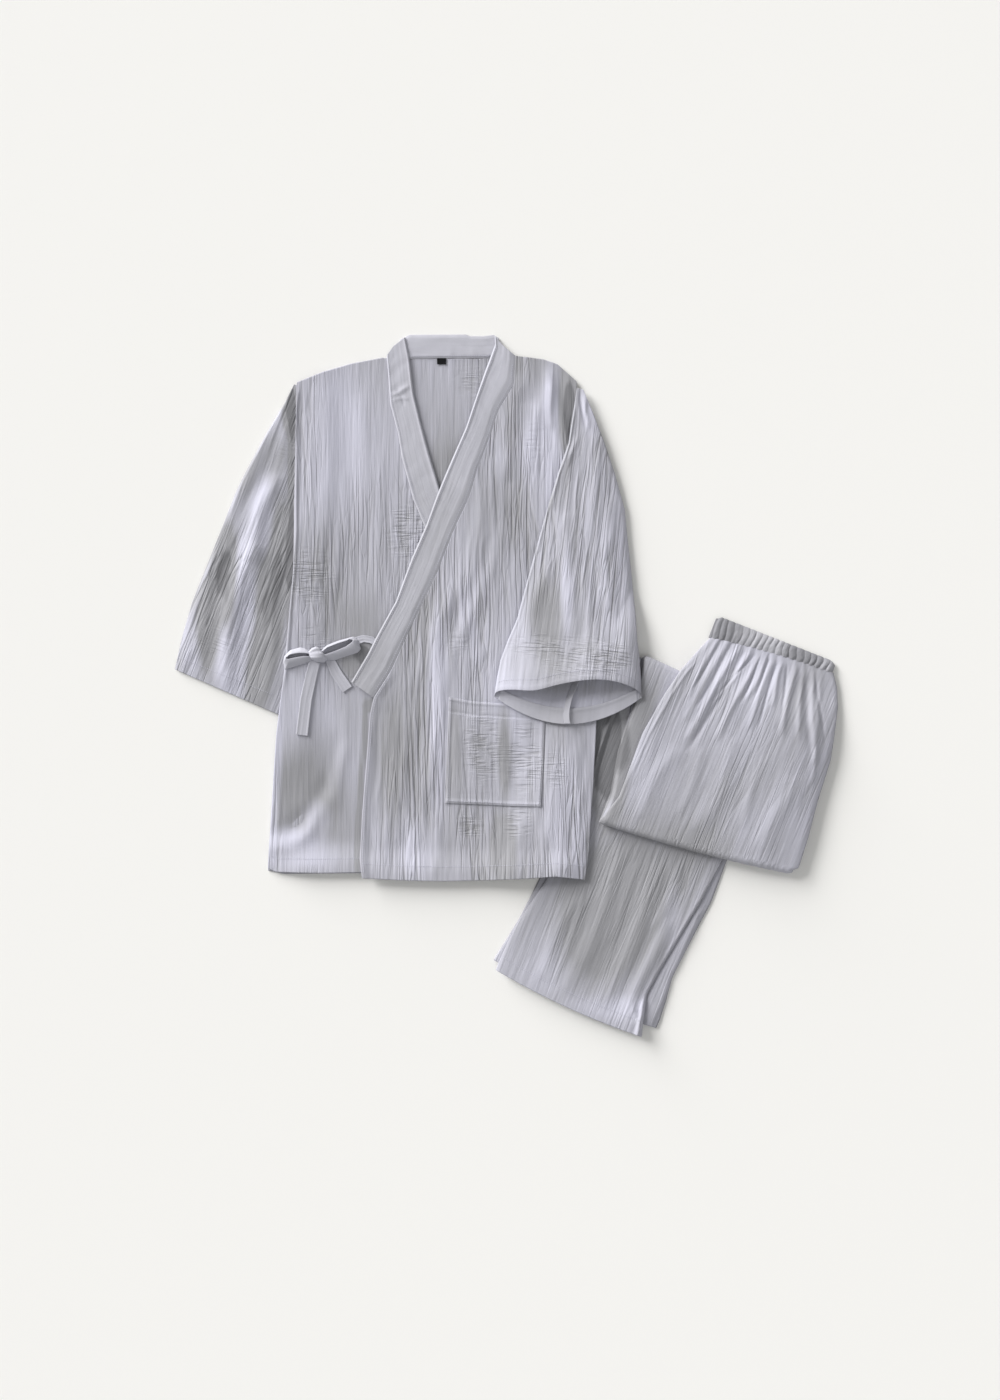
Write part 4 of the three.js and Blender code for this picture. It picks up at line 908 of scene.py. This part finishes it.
def place_knot(a, b):
    x, y = patch(KNOT_LEFT, KNOT_RIGHT, KNOT_TOP, KNOT_BOTTOM)(a, b)
    dome = np.sqrt(np.clip(bow(a) * bow(b), 0, 1)) ** 0.7
    pleat = (0.8 * np.sin(11 * b + 2 * a) + 0.4 * np.sin(19 * b)) * dome
    return x, y, right_front_top(x, y) + 4.2 + 9.5 * dome + pleat, a * 24, b * 20


def tie_piece(node, columns, rows, place):
    piece = sheet_object(node + "_ribbon", columns, rows, place, EVEN_CLOTH, thickness=TIE)
    finish_piece(piece, node, BAND_GAUZE)


TAIL_LONG = [(-264, 38, 7.5), (-267.2, 33, 7.8), (-272, 13.4, 8.2), (-279, -18.7, 8.3), (-285, -69.5, 8.4)]
TAIL_SHORT = [(-249, 40, 5), (-244.7, 33, 6.6), (-237.2, 17.7, 7.6), (-221.5, -5.5, 7.8)]
TIE_TO_BAND = [
    (-254, 47, 6), (-225, 54, 6.5), (-210, 62, 5.4), (-199, 65.6, 5), (-188, 63.6, 4.8), (-179, 57.4, 4.6)
]
TIE_TO_SIDE = [(-305, 38, 6.5), (-290, 40, 6.5), (-278, 42, 6)]
LEFT_LOOP_OUTER = [
    (-272, 46.2), (-280, 51.6), (-287.6, 53.3), (-301.5, 49.3), (-310.1, 40.2), (-311.1, 31.6),
    (-308.4, 22.2), (-294, 26.3), (-279, 31.6), (-269, 37)
]
LEFT_LOOP_INNER = [
    (-272, 43.8), (-280, 45), (-287.6, 45.4), (-300, 43.6), (-306.3, 40), (-306.8, 37.4), (-302.6, 36.9),
    (-294, 38.9), (-283.3, 40.7), (-271, 41)
]
RIGHT_LOOP_OUTER = [
    (-259.5, 45.6), (-249.4, 55.4), (-234, 61.6), (-212.6, 67.4), (-207.4, 62.4), (-203.5, 50.9),
    (-207.2, 46.6), (-223.3, 41.4), (-239.4, 35.9), (-258, 37)
]
RIGHT_LOOP_INNER = [
    (-259.5, 44.6), (-249, 52.7), (-234, 58.8), (-215.8, 64.4), (-213.4, 63.4), (-214.7, 60.6),
    (-223.3, 54.3), (-239.4, 47.7), (-251, 43.6), (-259.5, 42.6)
]
tie_piece("tie_to_side", 16, 24, ribbon_place(TIE_TO_SIDE, 1.4))
tie_piece("tie_to_band", 16, 50, ribbon_place(TIE_TO_BAND, 1.6))
tie_piece("tie_tail_long", 16, 60, ribbon_place(TAIL_LONG, 1.5))
tie_piece("tie_tail_short", 16, 40, ribbon_place(TAIL_SHORT, 1.7))
tie_piece("tie_loop_left", 14, 110, loop_place(LEFT_LOOP_OUTER, LEFT_LOOP_INNER, 7))
tie_piece("tie_loop_right", 14, 120, loop_place(RIGHT_LOOP_OUTER, RIGHT_LOOP_INNER, 6.5))
tie_piece("tie_knot", 32, 32, place_knot)

# Trouser legs
# Two wide tapering tubes, leg on leg, folded in three: the top segment runs from the waist down
# to the lower fold, the middle one back up to the top fold, and the lower one down to the hems.
TURN = math.radians(21.5)
LEGS_AT = (372.1, 66.5)
LEG_HALF = 1.4
LEG_PITCH = LEG_PAIR / 2
TOP_FOLD = (87, 100)
LOWER_FOLD = (329, 297)
TOP_SEGMENT = [
    (12, -80, 96), (32, -81, 110), (56, -91, 120.6), (90, -104, 129), (129, -112.5, 138), (190, -121, 142),
    (240, -120, 148), (284, -119, 151), (303, -125, 146.6), (330, -131.4, 146.6)
]
MIDDLE_SEGMENT = [
    (87, -160, 66), (168, -147.6, 94), (225, -143.6, 119), (286, -131.1, 145), (330, -131.8, 146.6)
]
LOWER_UPPER_LEG = [
    (87, -180, 65), (191, -188, 58), (226, -184, 56), (262, -179, 53), (316, -177.5, 49), (375, -175, 43),
    (430, -170, 34), (494, -184, 24), (528, -188, 20), (563, -190, 28), (587, -189, 35)
]
LOWER_UNDER_LEG = [
    (87, -176, 70), (191, -185, 65), (262, -178, 61), (316, -175, 58), (375, -178, 59), (430, -181, 53),
    (494, -187, 47), (528, -193, 51), (563, -199.5, 53), (587, -197, 45)
]
PLEATS = [
    (-70, 26, -82, 120, 3.2, 1.4), (-58, 24, -72, 150, 3.6, 1.6), (-38, 26, -62, 174, 4.2, 2.4),
    (-22, 24, -40, 110, 3.6, 2.0), (-8, 24, -22, 160, 4.2, 2.2), (2, 24, -2, 92, 3.4, 2.0),
    (12, 24, 12, 130, 3.8, 2.0), (25, 24, 32, 90, 3.2, 2.2), (42, 22, 60, 120, 4.2, 2.8),
    (55, 22, 84, 120, 3.6, 1.8), (68, 20, 116, 140, 4.2, 2.4), (82, 18, 124, 170, 4, 1.6),
    (-66, 28, -78, 112, 1.6, -1.8), (-49, 26, -64, 126, 1.8, -1.8), (-29, 32, -53, 192, 3.2, -2.2),
    (-14, 29, -48, 114, 1.6, -1.8), (-5, 32, -9, 98, 1.5, -2.2), (7, 28, 6, 84, 1.5, -1.8),
    (18, 31, 25, 124, 1.6, -2.2), (34, 30, 50, 94, 1.6, -2.2), (61, 36, 110, 127, 6, -2.4),
    (76, 28, 120, 110, 2.0, -1.6)
]
THIGH_FOLDS = [
    (-70, 190, -84, 300, 12, 1.6), (8, 150, 0, 290, 13, 1.8), (92, 170, 100, 280, 12, 1.6),
    (-30, 180, -34, 280, 7, 1.0), (50, 160, 52, 260, 7, 1.0), (-100, 120, -108, 260, 7, 1.0)
]
SHIN_FOLDS = [
    (-120, 430, -128, 560, 12, 1.8), (-80, 345, -88, 570, 14, 2.0), (-24, 350, -34, 560, 12, 2.2),
    (4, 420, 8, 575, 10, 2.4), (-56, 360, -60, 480, 7, 1.0), (-106, 420, -110, 560, 6, 1.0),
    (-4, 340, -2, 440, 7, 1.2), (20, 536, 24, 580, 3, 2.2), (8, 552, 28, 578, 2.4, 1.8),
    (30, 560, 26, 590, 2.6, 2.4), (12, 572, 26, 562, 2.4, 1.5)
]
UNDER_EDGE = [(375, 48), (407, 47.5), (509, 45.3), (567, 42)]
BESIDE_JACKET = [
    (-170, 150, -163, 300, 2.6, 3.4), (-164, 145, -157.5, 290, 2.0, -2.4),
    (-158.5, 140, -152.5, 280, 2.4, 3.2), (-153, 135, -148.5, 270, 1.8, -2.4),
    (-148, 130, -145, 260, 2.2, 2.8), (-143, 130, -141, 250, 2.0, -2.2)
]
LEG_SHARE = 0.72
LEG_PARTS = (("top", 0.0, 0.34), ("lower_fold", 0.34, 0.38), ("middle", 0.38, 0.5), ("top_fold", 0.5, 0.53),
             ("lower", 0.53, 1.0))


def on_floor(across, down):
    cos, sin = math.cos(TURN), math.sin(TURN)
    return LEGS_AT[0] + across * cos - down * sin, LEGS_AT[1] - across * sin - down * cos


def waist_seam(f):
    """How far down the waistband's seam lies, from its left end to its right one."""
    return mix(31, 14, f) - 3 * bow(f)


def leg_sink(segment, across, down):
    """How far the cloth sinks where the segments below it end."""
    beside_lower = LEG_PAIR * ramp(14, 110, across - column(LOWER_UNDER_LEG, 2, down))
    if segment == "middle":
        return beside_lower
    beside = beside_lower + LEG_PAIR * ramp(6, 90, across - column(MIDDLE_SEGMENT, 2, down))
    fold_at = mix(*TOP_FOLD, (across + 160) / 226)
    above = 1 - ramp(-62, 4, down - fold_at)
    two_pairs = 2 * LEG_PAIR
    return two_pairs * (1 - (1 - beside / two_pairs) * (1 - 0.95 * above))


def leg_place(levels, lower_table, hems, narrow, is_upper, seed):
    """One leg as a flat tube along the folded path; levels count the flat legs from the floor."""
    outermost = 1.5 * LEG_PITCH + LEG_HALF
    top_level, middle_level, lower_level = (level * LEG_PITCH + LEG_HALF for level in levels)
    hem_rise = 4.5 if is_upper else 1.5

    def place(a, b):
        upper, f = around(a, LEG_SHARE)
        top_end = mix(*TOP_FOLD, f) + outermost
        fold_end = mix(*LOWER_FOLD, f) + 4 * bow(f) - outermost
        waist_end = waist_seam(f)
        hem_end = mix(hems[0], hems[1], f) + 6 * bow(f)
        across, down, z, out_down, out_z, reach = (np.zeros_like(a) for _ in range(6))
        relief = np.zeros_like(a)
        for name, low, high in LEG_PARTS:
            here = (b >= low - 1e-9) & (b <= high + 1e-9)
            g = np.clip((b[here] - low) / (high - low), 0, 1)
            start, end = {"top": (waist_end, fold_end), "lower_fold": (fold_end, fold_end),
                          "middle": (fold_end, top_end), "top_fold": (top_end, top_end),
                          "lower": (top_end, hem_end)}[name]
            place_down = mix(start[here], end[here], g)
            table = {"top": TOP_SEGMENT, "lower": lower_table}.get(name, MIDDLE_SEGMENT)
            left = column(table, 1, place_down) + narrow
            right = column(table, 2, place_down) - narrow
            place_across = mix(left, right, f[here])
            if name in ("lower_fold", "top_fold"):
                is_lower = name == "lower_fold"
                first, last = (top_level, middle_level) if is_lower else (middle_level, lower_level)
                radius, way = abs(first - last) / 2, 1 if is_lower else -1
                turn = g * math.pi
                across[here] = place_across
                down[here] = place_down + way * radius * np.sin(turn)
                sink = leg_sink("middle", place_across, place_down)
                z[here] = (first + last) / 2 - sink + radius * np.cos(turn)
                out_down[here], out_z[here] = np.sin(turn), way * np.cos(turn)
            else:
                level = {"top": top_level, "middle": middle_level, "lower": lower_level}[name]
                sink = 0 if name == "lower" else leg_sink(name, place_across, place_down)
                lift = hem_rise * ramp(525, 590, place_down) if name == "lower" else 0
                across[here], down[here], z[here] = place_across, place_down, level - sink + lift
                out_z[here] = -1 if name == "middle" else 1
            reach[here] = {"top": place_down, "lower_fold": 330 + 12 * g, "middle": 672 - place_down,
                           "top_fold": 585 + 8 * g, "lower": 500 + place_down}[name]
            ripple = crinkle(place_across, reach[here], seed)
            if name == "top" and is_upper:
                shown = 1 - ramp(296, 322, place_down)
                inward = place_across - left
                inner_edge = 7.5 * (1 - ramp(180, 300, place_down))
                side_layers = 1.8 * edge_roll(inward, 1.8) + 1.3 * edge_roll(inward - inner_edge, 1.5)
                side_layers = side_layers * ramp(60, 90, place_down)
                pleats = folds(PLEATS, place_across, place_down)
                pleats = pleats + 1.3 * folds(THIGH_FOLDS, place_across, place_down)
                relief[here] = shown * (pleats + side_layers) + 0.28 * ripple
            elif name == "lower_fold" and is_upper:
                relief[here] = 0.45 * ripple
            elif name == "lower" and is_upper:
                shown = np.maximum(ramp(330, 360, place_down) * ramp(-112, -85, place_across),
                                   ramp(410, 440, place_down))
                hem_roll = 0.8 * fold_roll(1 - g, 0.012)
                side_layers = 1.6 * edge_roll(right - place_across, 2.4)
                beside = 1 - ramp(20, 27, place_across - left)
                relief[here] = shown * (1.4 * folds(SHIN_FOLDS, place_across, place_down) + 0.24 * ripple
                                        + hem_roll + side_layers)
                relief[here] += (1 - shown) * beside * folds(BESIDE_JACKET, place_across, place_down)
            elif name == "middle" and not is_upper:
                shown = 1 - ramp(30, 55, place_across - left)
                relief[here] = 0.5 * shown * ripple
            elif name == "lower" and not is_upper:
                past_upper_leg = place_across - column(LOWER_UPPER_LEG, 2, place_down)
                shown = ramp(0, 4, past_upper_leg) * ramp(375, 400, place_down)
                inner_layer = 1 - ramp(-0.8, 0.8, place_across - at(UNDER_EDGE, place_down))
                rim = edge_roll(at(UNDER_EDGE, place_down) - 1 - place_across, 1.6)
                relief[here] = shown * (1.6 * inner_layer + 0.9 * rim) + 0.12 * ripple
            else:
                relief[here] = 0.12 * ripple
        edge = np.sqrt(np.clip(ramp(0, 0.03, f) * ramp(0, 0.03, 1 - f), 0, 1))
        out_side = np.where(upper, 1, -1)
        faces_up = np.where((b > LEG_PARTS[2][1]) & (b < LEG_PARTS[2][2]), ~upper, upper)
        out = out_side * edge * (LEG_HALF + relief * faces_up)
        x, y = on_floor(across, down + out * out_down)
        return x, y, z + out * out_z, across, reach
    return place


place_upper_leg = leg_place((5, 2, 1), LOWER_UPPER_LEG, (573, 585), 0, True, 101)
place_under_leg = leg_place((4, 3, 0), LOWER_UNDER_LEG, (562, 567), 2, False, 111)
LEG_AREAS = {
    "base": 0.27,
    "creased": [(300, -20, 60, 70, 0.15), (250, -260, 60, 60, 0.2)],
    "crossed": (),
    "tone_and_painted_light": [
        # The deep dark spot at (140, -90) is painted shade in the recess beside the jacket's edge and the
        # dark spot at (210, -235) painted shadow by the fold; the other rows are tone.
        (300, 0, 60, 70, 0.2), (210, -235, 90, 60, -0.9), (150, -330, 100, 80, -1.2),
        (60, -340, 30, 70, 0.4), (150, -450, 70, 16, 0.6), (232, -330, 12, 70, 0.5),
        (140, -90, 26, 84, -3.6), (290, -190, 90, 30, 0.2)
    ],
}
UNDER_LEG_AREAS = {
    "base": 0.2,
    "creased": (),
    "crossed": (),
    # The two dark spots beside the jacket are painted shade on the lit slope of the fold edge there; the
    # broad one is tone.
    "tone_and_painted_light": [(180, -60, 40, 90, -1.3), (150, -90, 30, 70, -1.6), (250, -300, 200, 200, -0.3)],
}
for name, node, columns, rows, place, areas in (
    ("left_leg_cloth", "trouser_left_leg", 200, 200, place_upper_leg, LEG_AREAS),
    ("right_leg_cloth", "trouser_right_leg", 110, 150, place_under_leg, UNDER_LEG_AREAS),
):
    leg = sheet_object(name, columns, rows, place, areas, thickness=0.8)
    close_tube(leg)
    finish_piece(leg, node, GAUZE)
stitch_row("left_leg_hem_stitches", place_upper_leg, (0.01, 0.98), (0.7, 0.98), 70)

# Waistband
# A casing of the trousers' cloth folded over elastic, which draws it in to even gathers. It is
# sewn to the tops of both legs.
GATHERS = 19
GATHERED = 1.6
WAIST_ACROSS = (-83, 96)
WAIST_AREAS = {"creased": (), "crossed": (), "tone_and_painted_light": [(370, 60, 200, 120, -2.4)]}


def place_waistband(a, b):
    upper, f = around(b, 0.7)
    across = mix(*WAIST_ACROSS, a)
    seam = waist_seam(a) + 1.6
    shoulder = 5 * (1 - np.clip(bow(a) * 6, 0, 1))
    turns = GATHERS * a + 1.1 * (noise(a * 8, a * 0 + 0.5, 3) - 0.5)
    phase = math.pi * (turns + 0.16 * np.sin(4 * f + 11 * a))
    depth = mix(0.25, 1, noise(a * 17, f * 1.4, 4))
    ridge = depth * (np.abs(np.sin(phase)) ** 0.5 - 0.7)
    down = mix(-1 + shoulder, seam, f) - 1.3 * ridge * (1 - f) * (1 - f)
    round_off = np.sqrt(bow(np.clip(0.03 + 0.5 * f, 0, 1))) * np.clip(0.45 + bow(a) * 5, 0, 1)
    pucker = 0.5 * noise(a * 60, f * 5, 14)
    top = 3.4 + round_off * (4.3 - 0.6 * ramp(0.7, 1, f) + 3.0 * ridge + pucker)
    x, y = on_floor(across, down)
    return x, y, np.where(upper, top, 3.5 - 3.2 * round_off), across * GATHERED, down


waistband = sheet_object("waistband_cloth", GATHERS * 14, 44, place_waistband, WAIST_AREAS, thickness=0.8)
close_tube(waistband)
finish_piece(waistband, "trouser_waistband", BAND_GAUZE)
